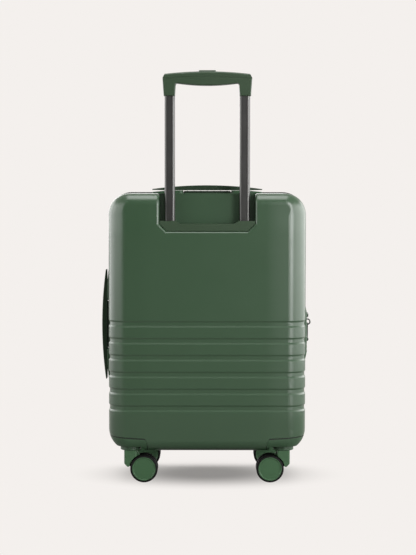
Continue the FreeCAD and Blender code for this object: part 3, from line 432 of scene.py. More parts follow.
def bow_edges(material, obj):
    """Let a moulded shell's faces bow away softly before their rounded edges."""
    tree = material.node_tree
    low, high = Vector(obj.bound_box[0]), Vector(obj.bound_box[6])
    middle, half = (low + high) / 2, (high - low) / 2
    height = use_group(tree, "Edge Bow", {
        "Middle X": middle.x, "Middle Z": middle.z,
        "Half Width": half.x, "Half Height": half.z})["Height"]
    grain = tree.nodes["Bump"]
    tree.links.new(bumped(tree, height, 1.0), grain.inputs["Normal"])


def drawn_metal(name, colour, roughness):
    """A metal drawn or ground along Z."""
    material, tree, shader = start_material(name)
    tint_and_wear(tree, shader, colour, roughness, 0.06, 0.05, 0.06, 0.03)
    lines = use_group(tree, "Drawn Lines", {"Line Size": 0.0004})["Height"]
    tree.links.new(bumped(tree, lines, 0.000012), shader.inputs["Normal"])
    set_sockets(shader, Metallic=1.0)
    return material


def woven(name, colour, thread, depth, sheen=0.25, contrast=0.25):
    """A woven cloth laid out by the piece's own UV map, in metres."""
    material, tree, shader = start_material(name)
    place = tree.nodes.new("ShaderNodeTexCoord").outputs["UV"]
    weave = use_group(tree, "Plain Weave", {"Place": place, "Thread": thread})
    tint = drifting_colour(tree, colour, 0.10, 0.03)
    shade = spread(tree, weave["Over"], 1.0 - contrast, 1.0 + contrast)
    tree.links.new(scaled(tree, tint, shade), shader.inputs["Base Color"])
    fuzz = noise_value(tree, place, 0.6 / thread, 3.0)
    tree.links.new(spread(tree, fuzz, 0.72, 0.95), shader.inputs["Roughness"])
    height = calc(tree, "ADD", weave["Height"], calc(tree, "MULTIPLY", fuzz, 0.3))
    tree.links.new(bumped(tree, height, depth), shader.inputs["Normal"])
    set_sockets(shader, Sheen_Weight=sheen, Specular_IOR_Level=0.25)
    return material


# ---- mesh building ----

def dress(material, *nodes):
    """Give built nodes their finish."""
    for node in nodes:
        for slot in frame["nodes"][node].material_slots:
            slot.material = material


def middle_of(node):
    low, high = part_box(node)
    return (low + high) / 2


def piece(name, verts, faces, body, material, slot, uvs=None, blended=False):
    """A mesh piece from plain lists, smooth but for its sharp edges."""
    mesh = bpy.data.meshes.new(name)
    mesh.from_pydata([tuple(v) for v in verts], [], [tuple(f) for f in faces])
    if uvs is not None:
        layer = mesh.uv_layers.new(name="cloth")
        corners = np.empty(len(mesh.loops), int)
        mesh.loops.foreach_get("vertex_index", corners)
        layer.data.foreach_set("uv", np.asarray(uvs, np.float32)[corners].ravel())
    tidy = bmesh.new()
    tidy.from_mesh(mesh)
    bmesh.ops.recalc_face_normals(tidy, faces=tidy.faces)
    tidy.to_mesh(mesh)
    tidy.free()
    mesh.polygons.foreach_set("use_smooth", [True] * len(mesh.polygons))
    mesh.set_sharp_from_angle(angle=SHARP_ANGLE)
    mesh.materials.append(material)
    made = bpy.data.objects.new(name, mesh)
    bpy.context.scene.collection.objects.link(made)
    if not blended:
        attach(made, body)
    return made


def grid_faces(rows, columns, wrap_rows=False, wrap_columns=False):
    """Faces of a grid of points numbered row by row."""
    faces = []
    for i in range(rows if wrap_rows else rows - 1):
        for j in range(columns if wrap_columns else columns - 1):
            right = (j + 1) % columns
            below = (i + 1) % rows
            faces.append((i * columns + j, i * columns + right,
                          below * columns + right, below * columns + j))
    return faces


def twin_skins(rows, columns):
    """Faces of two grids, one behind the other, closed along their borders."""
    count = rows * columns
    skin = grid_faces(rows, columns)
    faces = skin + [tuple(i + count for i in reversed(face)) for face in skin]
    left, low = range(0, count, columns), range(columns)
    for line in (left, [i + columns - 1 for i in left], low, [i + count - columns for i in low]):
        faces += [(first, second, second + count, first + count)
                  for first, second in zip(line, line[1:])]
    return faces


def placed(shape, centre, along=X, across=Y, up=Z):
    """A small piece moved to a centre, its own axes turned to lie along the given ones."""
    verts, faces = shape
    return np.asarray(verts) @ np.array([along, across, up], float) + np.array(centre), faces


def thicken(made, thickness, offset):
    modifier = made.modifiers.new("thickness", "SOLIDIFY")
    modifier.thickness = thickness
    modifier.offset = offset


def joined(parts):
    """Several (verts, faces) as one."""
    verts, faces, count = [], [], 0
    for part_verts, part_faces in parts:
        verts.append(np.asarray(part_verts, float))
        faces += [tuple(i + count for i in face) for face in part_faces]
        count += len(part_verts)
    return np.concatenate(verts), faces


class Rim:
    """The case's outline from the front: from the middle of the left side, upwards and round."""

    def __init__(self, corner, step=0.004, turn_steps=14):
        low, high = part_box("back_shell")
        half = high.x
        middle = (low.z + high.z) / 2
        stops = [(-half, middle), (-half, high.z - corner), (corner - half, high.z),
                 (half - corner, high.z), (half, high.z - corner), (half, low.z + corner),
                 (half - corner, low.z), (corner - half, low.z), (-half, low.z + corner),
                 (-half, middle)]
        outward = [(-1, 0), (0, 1), (1, 0), (0, -1), (-1, 0)]
        points, normals = [], []
        for i in range(0, len(stops), 2):
            start, end = np.array(stops[i]), np.array(stops[i + 1])
            count = max(2, int(np.linalg.norm(end - start) / step))
            for share in np.linspace(0, 1, count, endpoint=False):
                points.append(start + (end - start) * share)
                normals.append(outward[i // 2])
            if i + 2 < len(stops):
                first, second = np.array(outward[i // 2]), np.array(outward[i // 2 + 1])
                centre = end - corner * first
                for angle in np.linspace(0, math.pi / 2, turn_steps, endpoint=False):
                    way = first * math.cos(angle) + second * math.sin(angle)
                    points.append(centre + corner * way)
                    normals.append(way)
        self.points = np.array(points)
        self.normals = np.array(normals, float)
        gaps = np.linalg.norm(np.roll(self.points, -1, 0) - self.points, axis=1)
        self.along = np.concatenate([[0], np.cumsum(gaps)])
        self.length = self.along[-1]
        self.middle = middle

    def at(self, distances):
        """Points and outward normals at distances along the outline."""
        looped_points = np.vstack([self.points, self.points[:1]])
        looped_normals = np.vstack([self.normals, self.normals[:1]])
        found = [np.interp(distances, self.along, column)
                 for column in (*looped_points.T, *looped_normals.T)]
        normals = np.array(found[2:]).T
        return np.array(found[:2]).T, normals / np.linalg.norm(normals, axis=1, keepdims=True)

    def band(self, profile, start=None, stop=None):
        """A solid band whose cross-section is a closed list of (inset, y): verts, faces, uvs."""
        whole = start is None
        if whole:
            points, normals, along = self.points, self.normals, self.along[:-1]
        else:
            along = np.arange(start, stop, 0.004)
            points, normals = self.at(along)
        rows, columns = len(points), len(profile)
        insets = np.array([p[0] for p in profile])
        depths = np.array([p[1] for p in profile])
        ring = points[:, None, :] - normals[:, None, :] * insets[None, :, None]
        verts = np.stack([ring[..., 0], np.broadcast_to(depths, (rows, columns)), ring[..., 1]], -1)
        steps = np.hypot(np.diff(insets), np.diff(depths))
        across = np.concatenate([[0], np.cumsum(steps)])
        uvs = np.stack(np.broadcast_arrays(along[:, None], across[None, :]), -1)
        faces = grid_faces(rows, columns, wrap_rows=whole, wrap_columns=True)
        if not whole:
            faces += [tuple(range(columns)), tuple(range((rows - 1) * columns, rows * columns))]
        return verts.reshape(-1, 3), faces, uvs.reshape(-1, 2)

    def repeat(self, prototype, distances, inset, depth):
        """Copies of a small piece along the outline. Its axes are along, across and outward."""
        shape, shape_faces = prototype
        points, normals = self.at(np.asarray(distances))
        along = np.stack([normals[:, 1], np.zeros(len(normals)), -normals[:, 0]], -1)
        outward = np.stack([normals[:, 0], np.zeros(len(normals)), normals[:, 1]], -1)
        base = points - normals * inset
        centre = np.stack([base[:, 0], np.full(len(base), depth), base[:, 1]], -1)
        verts = (centre[:, None] + along[:, None] * shape[None, :, :1]
                 + Y * shape[None, :, 1:2] + outward[:, None] * shape[None, :, 2:])
        count = len(shape)
        faces = [tuple(i + k * count for i in face)
                 for k in range(len(points)) for face in shape_faces]
        return verts.reshape(-1, 3), faces


def bean(along, across, height, head=0.0, slant=0.0, around=8, rings=5):
    """A rounded rod lying across, its far end swollen by head, its ends closed."""
    verts, faces = [], []
    for k in range(rings + 1):
        lift = math.sin(math.pi * (0.06 + 0.88 * k / rings)) ** 0.45
        place = -math.cos(math.pi * k / rings)
        swell = 1 + head * max(0.0, place) ** 2
        for j in range(around):
            turn = 2 * math.pi * j / around
            y = across / 2 * place
            verts.append((along / 2 * lift * swell * math.cos(turn) + slant * y, y,
                          height / 2 * lift * math.sin(turn)))
    faces = grid_faces(rings + 1, around, wrap_columns=True)
    faces += [tuple(range(around)), tuple(range(rings * around, (rings + 1) * around))]
    return np.array(verts), faces


def ribbed_pad(length, width, height, corner=0.004, ribs=7):
    """A low pad with rolled edges and cross ribs, standing on z = 0."""
    outline = np.array(rounded_outline(length / 2, width / 2, corner))
    half = np.array((length / 2, width / 2))
    levels = ((0.0, 0.0), (0.6, 0.0), (0.9, 0.0004), (1.0, 0.0011))
    verts = [(x, y, level * height) for level, inset in levels
             for x, y in outline * (1 - inset / half)]
    count = len(outline)
    faces = grid_faces(len(levels), count, wrap_columns=True)
    faces += [tuple(range(count)), tuple(range(len(verts) - count, len(verts)))]
    rib = bean(0.0016, width * 0.7, 0.0012)
    ribbed_share = 0.84
    places = np.linspace(-0.5, 0.5, ribs) * ribbed_share * length
    return joined([(verts, faces)] + [placed(rib, (x, 0, height)) for x in places])


def turned_solid(profile, centre, axis, sides=40):
    """A piece turned round an axis through a centre, from (radius, height) points."""
    up = Vector(axis).normalized()
    across = up.orthogonal().normalized()
    other = up.cross(across)
    verts = []
    for radius, height in profile:
        for k in range(sides):
            turn = 2 * math.pi * k / sides
            way = across * math.cos(turn) + other * math.sin(turn)
            verts.append(Vector(centre) + up * height + way * radius)
    faces = grid_faces(len(profile), sides, wrap_columns=True)
    faces += [tuple(range(sides)), tuple(range((len(profile) - 1) * sides, len(profile) * sides))]
    return [tuple(v) for v in verts], faces


def rounded_outline(half_x, half_z, radius, steps=6):
    """Points of a rectangle with round corners, anticlockwise."""
    points = []
    for k, (sx, sz) in enumerate(((1, 1), (-1, 1), (-1, -1), (1, -1))):
        for angle in np.linspace(0, math.pi / 2, steps):
            turn = angle + k * math.pi / 2
            points.append((sx * (half_x - radius) + radius * math.cos(turn),
                           sz * (half_z - radius) + radius * math.sin(turn)))
    return points


def smooth_noise(x, y, z, size):
    return noise.noise(Vector((x / size, y / size, z / size)))


# ---- operators ----

class SUITCASE_OT_studio(bpy.types.Operator):
    """Set up the camera, the lamps, the pale floor and the surroundings"""
    bl_idname = "suitcase.studio"
    bl_label = "Studio"

    def execute(self, context):
        studio = context.scene.suitcase_studio
        context.scene.view_settings.view_transform = "Standard"
        self.add_camera(context, studio)
        self.add_lamps(context, studio)
        self.add_surroundings(context, studio)
        self.add_floor(context, studio)
        return {"FINISHED"}

    def add_camera(self, context, studio):
        camera = bpy.data.objects.new("studio_camera", bpy.data.cameras.new("studio_camera"))
        context.scene.collection.objects.link(camera)
        camera.data.lens = studio.lens
        camera.data.sensor_width = 36.0
        camera.data.clip_end = 60.0
        back_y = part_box("back_shell")[0].y
        place = Vector((0.0, back_y - studio.distance, studio.height))
        yaw = math.atan2(-studio.aside, studio.distance)
        turn = (Matrix.Rotation(yaw, 4, "Z")
                @ Matrix.Rotation(math.pi / 2 - studio.tilt, 4, "X")
                @ Matrix.Rotation(studio.roll, 4, "Z"))
        camera.matrix_world = Matrix.Translation(place) @ turn
        context.scene.camera = camera

    def add_lamps(self, context, studio):
        """Area lamps, each with its power, place, size and the point that it looks at."""
        case, handle, ground = (0.0, 0.0, 0.32), (0.0, -0.1, 0.4), (0.0, -0.1, 0.0)
        lamps = (
            ("key_lamp", studio.key, (1.45, -2.38, 0.9), (0.8, 1.9), (0.0, -0.1, 0.32)),
            ("side_lamp", studio.side, (2.3, -0.7, 0.8), (2.4, 1.6), case),
            ("fill_lamp", studio.fill, (-2.15, -1.15, 0.9), (2.6, 1.6), case),
            ("top_lamp", studio.top, (0.0, -0.4, 2.3), (1.6, 1.5), handle),
            ("left_rim_lamp", studio.rims, (-2.3, 0.9, 0.8), (2.4, 1.6), case),
            ("right_rim_lamp", studio.rims, (2.3, 1.2, 0.8), (2.2, 1.6), case),
            ("back_lamp", studio.behind, (-0.6, 3.0, 1.2), (2.2, 1.8), case),
            ("floor_lamp", studio.beneath, (0.0, 0.7, 2.4), (2.0, 1.8), ground),
            ("front_lamp", studio.front, (0.5, -3.6, 1.9), (1.8, 1.2), (0.0, 0.0, 0.35)),
        )
        for name, power, place, size, aim in lamps:
            data = bpy.data.lights.new(name, "AREA")
            data.shape = "RECTANGLE"
            data.size, data.size_y = size
            data.energy = power
            lamp = bpy.data.objects.new(name, data)
            lamp.location = place
            way = Vector(aim) - Vector(place)
            lamp.rotation_euler = way.to_track_quat("-Z", "Y").to_euler()
            context.scene.collection.objects.link(lamp)

    def add_surroundings(self, context, studio):
        """Paper-coloured air: full for the camera, dim as light and behind the camera."""
        world = bpy.data.worlds.new("studio_air")
        context.scene.world = world
        world.use_nodes = True
        tree = world.node_tree
        backing = tree.nodes["Background"]
        backing.inputs["Color"].default_value = (*studio.paper, 1)
        camera_ray, mirrored = ray_kinds(tree)
        seen = calc(tree, "MAXIMUM", camera_ray, mirrored)
        depth = split(tree, tree.nodes.new("ShaderNodeTexCoord").outputs["Generated"])["Y"]
        dim_side = ease(tree, depth, -0.95, -0.35, studio.dim_side, 1.0)
        shown = calc(tree, "MAXIMUM", dim_side, camera_ray)
        strength = calc(tree, "MULTIPLY", spread(tree, seen, studio.ambient, 1.0), shown)
        tree.links.new(strength, backing.inputs["Strength"])

    def add_floor(self, context, studio):
        sides, rings = 96, (30.0, 6.0, 2.0, 0.8, 0.3)
        turns = [2 * math.pi * k / sides for k in range(sides)]
        verts = [(ring * math.cos(turn), ring * math.sin(turn), 0)
                 for ring in rings for turn in turns]
        faces = grid_faces(len(rings), sides, wrap_columns=True)
        faces.append(tuple(range(len(verts) - sides, len(verts))))
        mesh = bpy.data.meshes.new("studio_floor")
        mesh.from_pydata(verts, [], faces)
        mesh.materials.append(self.paper(studio))
        floor = bpy.data.objects.new("studio_floor", mesh)
        context.scene.collection.objects.link(floor)
        self.share_light(floor)

    def paper(self, studio):
        """Plain paper that is evened out to its own colour away from the case's shadow."""
        shadow_reach = (4.1, 6.2, 0.0)
        material, tree, shader = start_material("Studio Paper")
        set_sockets(shader, Roughness=0.9, Specular_IOR_Level=0.0)
        tint = drifting_colour(tree, studio.paper, 0.004, 0.5)
        tree.links.new(tint, shader.inputs["Base Color"])
        glow = add_node(tree, "ShaderNodeEmission", None,
                        {"Color": (*studio.paper, 1), "Strength": 1.0})
        distance = add_node(tree, "ShaderNodeVectorMath", {"operation": "LENGTH"},
                            {0: stretched(tree, object_place(tree), shadow_reach)})
        far = ease(tree, distance.outputs["Value"], 0.2, 1.15)
        camera_ray, mirrored = ray_kinds(tree)
        seen = calc(tree, "MAXIMUM", camera_ray,
                    calc(tree, "MULTIPLY", mirrored, studio.floor_glow))
        share = calc(tree, "MULTIPLY", spread(tree, far, 0.3, 1.0), seen)
        mixed = add_node(tree, "ShaderNodeMixShader", None,
                         {0: share, 1: shader.outputs[0], 2: glow.outputs[0]})
        tree.links.new(mixed.outputs[0], tree.nodes["Material Output"].inputs["Surface"])
        return material

    def share_light(self, floor):
        """Light the floor with its own lamp, so that the case's shadow stays under it."""
        others = bpy.data.collections.new("all_but_floor")
        others.objects.link(floor)
        others.collection_objects[0].light_linking.link_state = "EXCLUDE"
        only = bpy.data.collections.new("floor_only")
        only.objects.link(floor)
        for lamp in bpy.data.objects:
            if lamp.type == "LIGHT":
                alone = lamp.name == "floor_lamp"
                lamp.light_linking.receiver_collection = only if alone else others


class SUITCASE_OT_shaders(bpy.types.Operator):
    """Build the shader groups that the finishes share"""
    bl_idname = "suitcase.shaders"
    bl_label = "Shared shaders"

    def execute(self, context):
        for build in (make_grain_group, make_bow_group, make_seam_group, make_drift_group,
                      make_marks_group, make_weave_group, make_drawn_group):
            build()
        return {"FINISHED"}


class SUITCASE_OT_shells(bpy.types.Operator):
    """Finish the shells and the corner housings"""
    bl_idname = "suitcase.shells"
    bl_label = "Shells"

    def execute(self, context):
        colours = context.scene.suitcase_colours
        shell = moulded("Satin Casing", colours.shell, 0.30, grain=0.0005, depth=0.000010,
                        drift=0.03, marks=0.03, level=0.5)
        bow_edges(shell, frame["nodes"]["back_shell"])
        dress(shell, "back_shell", "front_shell")
        housing = moulded("Housing Plastic", colours.shell, 0.48, grain=0.0007, depth=0.000018,
                          drift=0.04, marks=0.04)
        # painted shade along the housings' borders, for the gap to the shell
        self.shade_borders(housing)
        dress(housing, *[f"{end}_corner_{side}" for end, side in CORNERS])
        return {"FINISHED"}

    def shade_borders(self, material):
        """Darken the housings' borders with painted shade: a dark line that stands in for the
        shaded gap parting them from the shell.
        """
        tree = material.node_tree
        shader = tree.nodes["Principled BSDF"]
        tint = shader.inputs["Base Color"].links[0].from_socket
        low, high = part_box("back_corner_right")
        # near black painted shade for the gap between each housing and the shell
        painted_gap_shade_colour = (0.002, 0.004, 0.002, 1)
        gap_shade_mask = use_group(tree, "Border Seam", {"Inner X": low.x, "Top Z": high.z})["Mask"]
        mixed = add_node(tree, "ShaderNodeMix", {"data_type": "RGBA"},
                         {0: gap_shade_mask, 6: tint, 7: painted_gap_shade_colour})
        tree.links.new(mixed.outputs[2], shader.inputs["Base Color"])


class SUITCASE_OT_trolley(bpy.types.Operator):
    """Finish the trolley: tubes, bezel, grip, button and the latches inside"""
    bl_idname = "suitcase.trolley"
    bl_label = "Trolley"

    def execute(self, context):
        colours = context.scene.suitcase_colours
        dress(drawn_metal("Dark Anodised Tube", colours.tube, 0.36), "middle_tubes")
        dress(drawn_metal("Bare Tube", colours.bright, 0.38),
              "outer_tubes", "inner_tubes", "latch_left", "latch_right")
        dress(moulded("Grip Plastic", colours.grip, 0.42, drift=0.04), "grip_body", "grip_cover")
        dress(moulded("Bezel Plastic", colours.grip, 0.45, depth=0.000016, drift=0.04, marks=0.04),
              "pocket_bezel", "grip_button")
        dress(moulded("Black Plastic", (0.012, 0.012, 0.012), 0.55),
              "inner_plugs", "tube_feet", "push_bar")
        return {"FINISHED"}


class SUITCASE_OT_casters(bpy.types.Operator):
    """Finish the twin wheel casters"""
    bl_idname = "suitcase.casters"
    bl_label = "Casters"

    def execute(self, context):
        colours = context.scene.suitcase_colours
        fork = moulded("Fork Plastic", colours.caster, 0.46, grain=0.0007, depth=0.000018,
                       drift=0.04, marks=0.04)
        hub = moulded("Hub Plastic", colours.caster, 0.40, depth=0.000012, drift=0.04)
        rubber = moulded("Tyre Rubber", colours.tyre, 0.62, grain=0.0005, depth=0.000030,
                         drift=0.12, marks=0.08, level=0.12)
        steel = drawn_metal("Ground Steel", colours.bright, 0.28)
        wheels = [f"{end}_{side}_{face}" for end, side in CORNERS for face in ("outer", "inner")]
        dress(fork, *[f"fork_{end}_{side}" for end, side in CORNERS])
        dress(hub, *[f"hub_{wheel}" for wheel in wheels])
        dress(rubber, *[f"tyre_{wheel}" for wheel in wheels])
        dress(steel, "back_kingpins", "front_kingpins", "plate_screws")
        return {"FINISHED"}


class SUITCASE_OT_handles(bpy.types.Operator):
    """Finish the carry handles and their plates"""
    bl_idname = "suitcase.handles"
    bl_label = "Carry handles"

    def execute(self, context):
        colours = context.scene.suitcase_colours
        rubber = moulded("Handle Rubber", colours.handle, 0.55, grain=0.0008, depth=0.000040,
                         drift=0.08, marks=0.06, level=0.2)
        dress(rubber, "top_handle", "side_handle")
        dress(moulded("Plate Plastic", colours.plate, 0.42, depth=0.000014, drift=0.04,
                      marks=0.04), "handle_plates")
        self.add_bases(context.scene.suitcase_sizes, rubber)
        return {"FINISHED"}

    def add_bases(self, sizes, rubber):
        """Ribbed strips on the shell under the handles, between their end plates."""
        shell_low, shell_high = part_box("back_shell")
        pad = ribbed_pad(sizes.base_length, sizes.base_width, sizes.base_height)
        middle = middle_of("top_handle")
        top = placed(pad, (middle.x, middle.y, shell_high.z))
        piece("top_handle_base", *top, "case", rubber, "handle_rubber")
        middle = middle_of("side_handle")
        side = placed(pad, (shell_low.x, middle.y, middle.z), Z, Y, -X)
        piece("side_handle_base", *side, "case", rubber, "handle_rubber")


class SUITCASE_OT_lock(bpy.types.Operator):
    """Finish the combination lock: cover, button, key cylinder and numbered dials"""
    bl_idname = "suitcase.lock"
    bl_label = "Lock"

    def execute(self, context):
        colours = context.scene.suitcase_colours
        dress(moulded("Lock Cover", colours.lock, 0.40, depth=0.000010, drift=0.03, marks=0.04),
              "lock_body")
        dress(moulded("Lock Button", colours.handle, 0.45), "lock_button")
        dial = moulded("Dial Plastic", (0.012, 0.013, 0.012), 0.40)
        ink = moulded("Dial Numbers", colours.digits, 0.60)
        for number in (1, 2, 3):
            dress(dial, f"lock_dial_{number}")
            self.add_digits(number, ink)
        self.add_key_cylinder(colours)
        return {"FINISHED"}

    def add_key_cylinder(self, colours):
        """A ringed metal cylinder below the release button, with a dark slot across its face: a
        near-black strip that is painted shade of the keyway's hollow.
        """
        chrome = drawn_metal("Key Cylinder Metal", colours.bright, 0.22)
        # near black: painted shade standing in for the keyway's hollow, which the cylinder has no
        # hole for
        keyway_shade = moulded("Key Slot", (0.004, 0.004, 0.004), 0.70)
        sunk, below, slot_proud = 0.0002, 0.0095, 0.0001
        low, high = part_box("lock_button")
        centre = Vector((high.x - sunk, (low.y + high.y) / 2, low.z - below))
        profile = [(0.0001, -0.0012), (0.0037, -0.0012), (0.0037, 0.0003), (0.0034, 0.0006),
                   (0.0029, 0.0005), (0.0028, 0.0002), (0.0024, 0.0), (0.0001, 0.0)]
        cylinder = turned_solid(profile, centre, X)
        piece("key_cylinder", *cylinder, "case", chrome, "steel")
        slot = placed(bean(0.0009, 0.0036, 0.0006), centre + slot_proud * Vector(X), Y, Z, X)
        piece("key_slot", *slot, "case", keyway_shade, "black_plastic")

    def add_digits(self, number, ink):
        """The raised numbers 0 to 9 round one dial."""
        lift, narrowing = 0.00004, 0.9
        low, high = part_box(f"lock_dial_{number}")
        radius = (high.x - low.x) / 2
        middle = (low + high) / 2
        parts = []
        for digit in range(10):
            text = bpy.data.curves.new("digit", "FONT")
            text.body = str(digit)
            text.size = 0.0042
            text.extrude = 0.00008
            text.align_x = text.align_y = "CENTER"
            holder = bpy.data.objects.new("digit", text)
            bpy.context.scene.collection.objects.link(holder)
            bpy.context.view_layer.update()
            flat = bpy.data.meshes.new_from_object(
                holder.evaluated_get(bpy.context.evaluated_depsgraph_get()))
            verts = []
            for v in flat.vertices:
                turn = v.co.x / radius + digit * math.pi / 5
                out = radius + lift + v.co.z
                verts.append((middle.x + out * math.cos(turn), middle.y + out * math.sin(turn),
                              middle.z + v.co.y * narrowing))
            parts.append((verts, [tuple(p.vertices) for p in flat.polygons]))
            bpy.data.objects.remove(holder)
            bpy.data.meshes.remove(flat)
        digits = joined(parts)
        piece(f"dial_digits_{number}", *digits, f"dial_{number}", ink, "dial_plastic")


class SUITCASE_OT_zip(bpy.types.Operator):
    """Build the zip: tapes, coils, stitching and welts, and finish its sliders and pulls"""
    bl_idname = "suitcase.zip"
    bl_label = "Zip"

    def execute(self, context):
        colours = context.scene.suitcase_colours
        sizes = context.scene.suitcase_sizes
        tape = woven("Zip Tape", colours.zip, sizes.weave, 0.00010)
        coil = moulded("Zip Coil", colours.zip, 0.40, grain=0.0003, depth=0.000005, drift=0.10,
                       marks=0.08)
        thread = moulded("Sewing Thread", colours.thread, 0.75, grain=0.0002, depth=0.000030,
                         drift=0.15)
        welt = moulded("Welt Rubber", colours.welt, 0.60, grain=0.0005, depth=0.000030, drift=0.08,
                       marks=0.06, level=0.15)
        metal = moulded("Slider Metal", colours.slider, 0.30, grain=0.0004, depth=0.000006,
                        drift=0.06, marks=0.08, metallic=0.9)
        dress(metal, "zip_slider_lower", "zip_slider_upper")
        dress(moulded("Pull Rubber", colours.handle, 0.55, grain=0.0005),
              "zip_pull_lower", "zip_pull_upper")
        rim = Rim(sizes.corner)
        start = sizes.hinge_high - rim.middle
        stop = rim.length - (rim.middle - sizes.hinge_low)
        coils = np.arange(start, stop, sizes.coil_pitch)
        stitches = np.arange(start, stop, sizes.stitch_pitch)
        stitch = bean(sizes.thread, sizes.stitch, sizes.thread * 0.8, around=6, rings=3)
        stitch = placed(stitch, (0, 0, 0), Y, X, Z)
        coil_middle, coil_seam, tape_seam = 0.00145, 0.0021, 0.0050
        for body, side in (("case", -1), ("lid", 1)):
            band = self.add(body, "tape", tape, *rim.band(self.tape_profile(sizes, side)))
            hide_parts(f"{body}_zip_tape")
            tooth = bean(0.00115, 0.0036, 0.00105, head=0.12, slant=0.10)
            tooth = placed(tooth, (0, 0, 0), X, -side * Y, Z)
            shift = 0.0 if side < 0 else sizes.coil_pitch / 2
            self.add(body, "zip_coil", coil, *rim.repeat(
                tooth, coils + shift, 0.00052 - sizes.coil_proud, side * coil_middle))
            self.add(body, "tape_stitches", thread, *rim.repeat(
                stitch, stitches, -sizes.tape_proud - sizes.thread * 0.3, side * tape_seam))
            self.add(body, "coil_stitches", thread, *rim.repeat(
                stitch, coils[::2], -sizes.coil_proud - 0.00002, side * coil_seam))
            self.add(body, "welt", welt, *rim.band(self.welt_profile(sizes, side)))
        return {"FINISHED"}

    def add(self, body, label, finish, verts, faces, uvs=None):
        return piece(f"{body}_{label}", verts, faces, body, finish, "zip_tape", uvs)

    def tape_profile(self, sizes, side):
        """A tape's closed outline: its face, the fold at the coil and its back."""
        half, proud = sizes.tape_half, sizes.tape_proud
        return [(-proud, side * half), (-proud, side * 0.0030), (-proud, side * 0.0016),
                (0.0006 - proud, side * 0.0009), (0.0022, side * 0.0009),
                (0.0040, side * 0.0014), (0.0040, side * half)]

    def welt_profile(self, sizes, side):
        """A round welt, most of it standing out of the shell beside the tape."""
        turns = np.linspace(0, 2 * math.pi, 12, endpoint=False)
        return [(-sizes.welt_proud + sizes.welt * (1 + math.sin(turn)),
                 side * (sizes.tape_half + sizes.welt * (0.9 + math.cos(turn))))
                for turn in turns]


class SUITCASE_OT_hinge(bpy.types.Operator):
    """Build the cloth hinge that joins the halves on the left side"""
    bl_idname = "suitcase.hinge"
    bl_label = "Cloth hinge"

    def execute(self, context):
        colours = context.scene.suitcase_colours
        sizes = context.scene.suitcase_sizes
        web = woven("Hinge Webbing", colours.zip, sizes.weave * 1.3, 0.00016, sheen=0.3)
        side_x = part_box("back_shell")[0].x
        columns, rows = 25, 60
        margin, outer_proud, inner_proud, crown = 0.0002, 0.0012, 0.0005, 0.0004
        half = sizes.tape_half - margin
        verts, uvs = [], []
        for proud in (outer_proud, inner_proud):
            for z in np.linspace(sizes.hinge_low, sizes.hinge_high, rows):
                for across in np.linspace(-1, 1, columns):
                    verts.append((side_x - proud - crown * (1 - across**2), across * half, z))
                    uvs.append((across * half, z))
        made = piece("hinge_web", verts, twin_skins(rows, columns), None, web, "zip_tape", uvs,
                     blended=True)
        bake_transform(made)
        return {"FINISHED"}


class SUITCASE_OT_lining(bpy.types.Operator):
    """Build the lining cloth of both halves with its piping"""
    bl_idname = "suitcase.lining"
    bl_label = "Lining"

    def execute(self, context):
        colours = context.scene.suitcase_colours
        sizes = context.scene.suitcase_sizes
        cloth = woven("Lining Cloth", colours.lining, sizes.cloth_weave, 0.00008,
                      sheen=0.35, contrast=0.08)
        binding = woven("Binding Tape", colours.webbing, sizes.weave, 0.00010)
        piping_inset, piping_y = 0.0158, 0.0058
        rim = Rim(sizes.corner)
        for body, node, side in (("case", "back_lining", -1), ("lid", "front_lining", 1)):
            made, area = self.tray(node, side, body, cloth)
            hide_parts(node)
            turns = np.linspace(0, 2 * math.pi, 10, endpoint=False)
            ring = [(piping_inset + sizes.piping * math.cos(turn),
                     side * piping_y + sizes.piping * math.sin(turn)) for turn in turns]
            verts, faces, uvs = rim.band(ring)
            piece(f"{body}_piping", verts, faces, body, binding, "webbing", uvs)
        return {"FINISHED"}

    def shown(self, face, centre, rim_y, side):
        """Whether a face of the lining's solid looks into the packing room."""
        middle = face.calc_center_median()
        if abs(face.normal.y) > 0.9 and abs(middle.y - rim_y) < 0.002:
            return face.normal.y * side < 0
        return face.normal.dot(centre - middle) > 0

    def tray(self, node, side, body, cloth):
        """The skin of a lining that faces the packing room, cut into a fine grid and wrinkled."""
        bm = bmesh.new()
        bm.from_mesh(frame["nodes"][node].data)
        bmesh.ops.remove_doubles(bm, verts=bm.verts, dist=1e-6)
        low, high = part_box(node)
        centre = (low + high) / 2
        rim_y = high.y if side < 0 else low.y
        away = [face for face in bm.faces if not self.shown(face, centre, rim_y, side)]
        bmesh.ops.delete(bm, geom=away, context="FACES")
        for axis, normal, step in ((0, X, 0.011), (2, Z, 0.011), (1, Y, 0.010)):
            for cut in np.arange(low[axis] + step, high[axis], step):
                bmesh.ops.bisect_plane(bm, geom=bm.verts[:] + bm.edges[:] + bm.faces[:],
                                       plane_co=normal * cut, plane_no=normal)
        area = sum(face.calc_area() for face in bm.faces)
        bm.normal_update()
        wrinkle, calm_rim = 0.0014, 0.02
        for vert in bm.verts:
            x, y, z = vert.co
            calm = min(1.0, abs(y - rim_y) / calm_rim)
            folds = smooth_noise(x, y, z, 0.055) + 0.5 * smooth_noise(x, y * 3, z, 0.022)
            vert.co += vert.normal * (wrinkle * calm * (0.35 + folds))
        layer = bm.loops.layers.uv.new("cloth")
        for face in bm.faces:
            main = max(range(3), key=lambda k: abs(face.normal[k]))
            others = [k for k in range(3) if k != main]
            for loop in face.loops:
                loop[layer].uv = (loop.vert.co[others[0]], loop.vert.co[others[1]])
            face.smooth = True
        mesh = bpy.data.meshes.new(f"{body}_lining_cloth")
        bm.to_mesh(mesh)
        bm.free()
        mesh.materials.append(cloth)
        made = bpy.data.objects.new(mesh.name, mesh)
        bpy.context.scene.collection.objects.link(made)
        thicken(made, 0.0006, -1.0)
        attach(made, body)
        return made, area


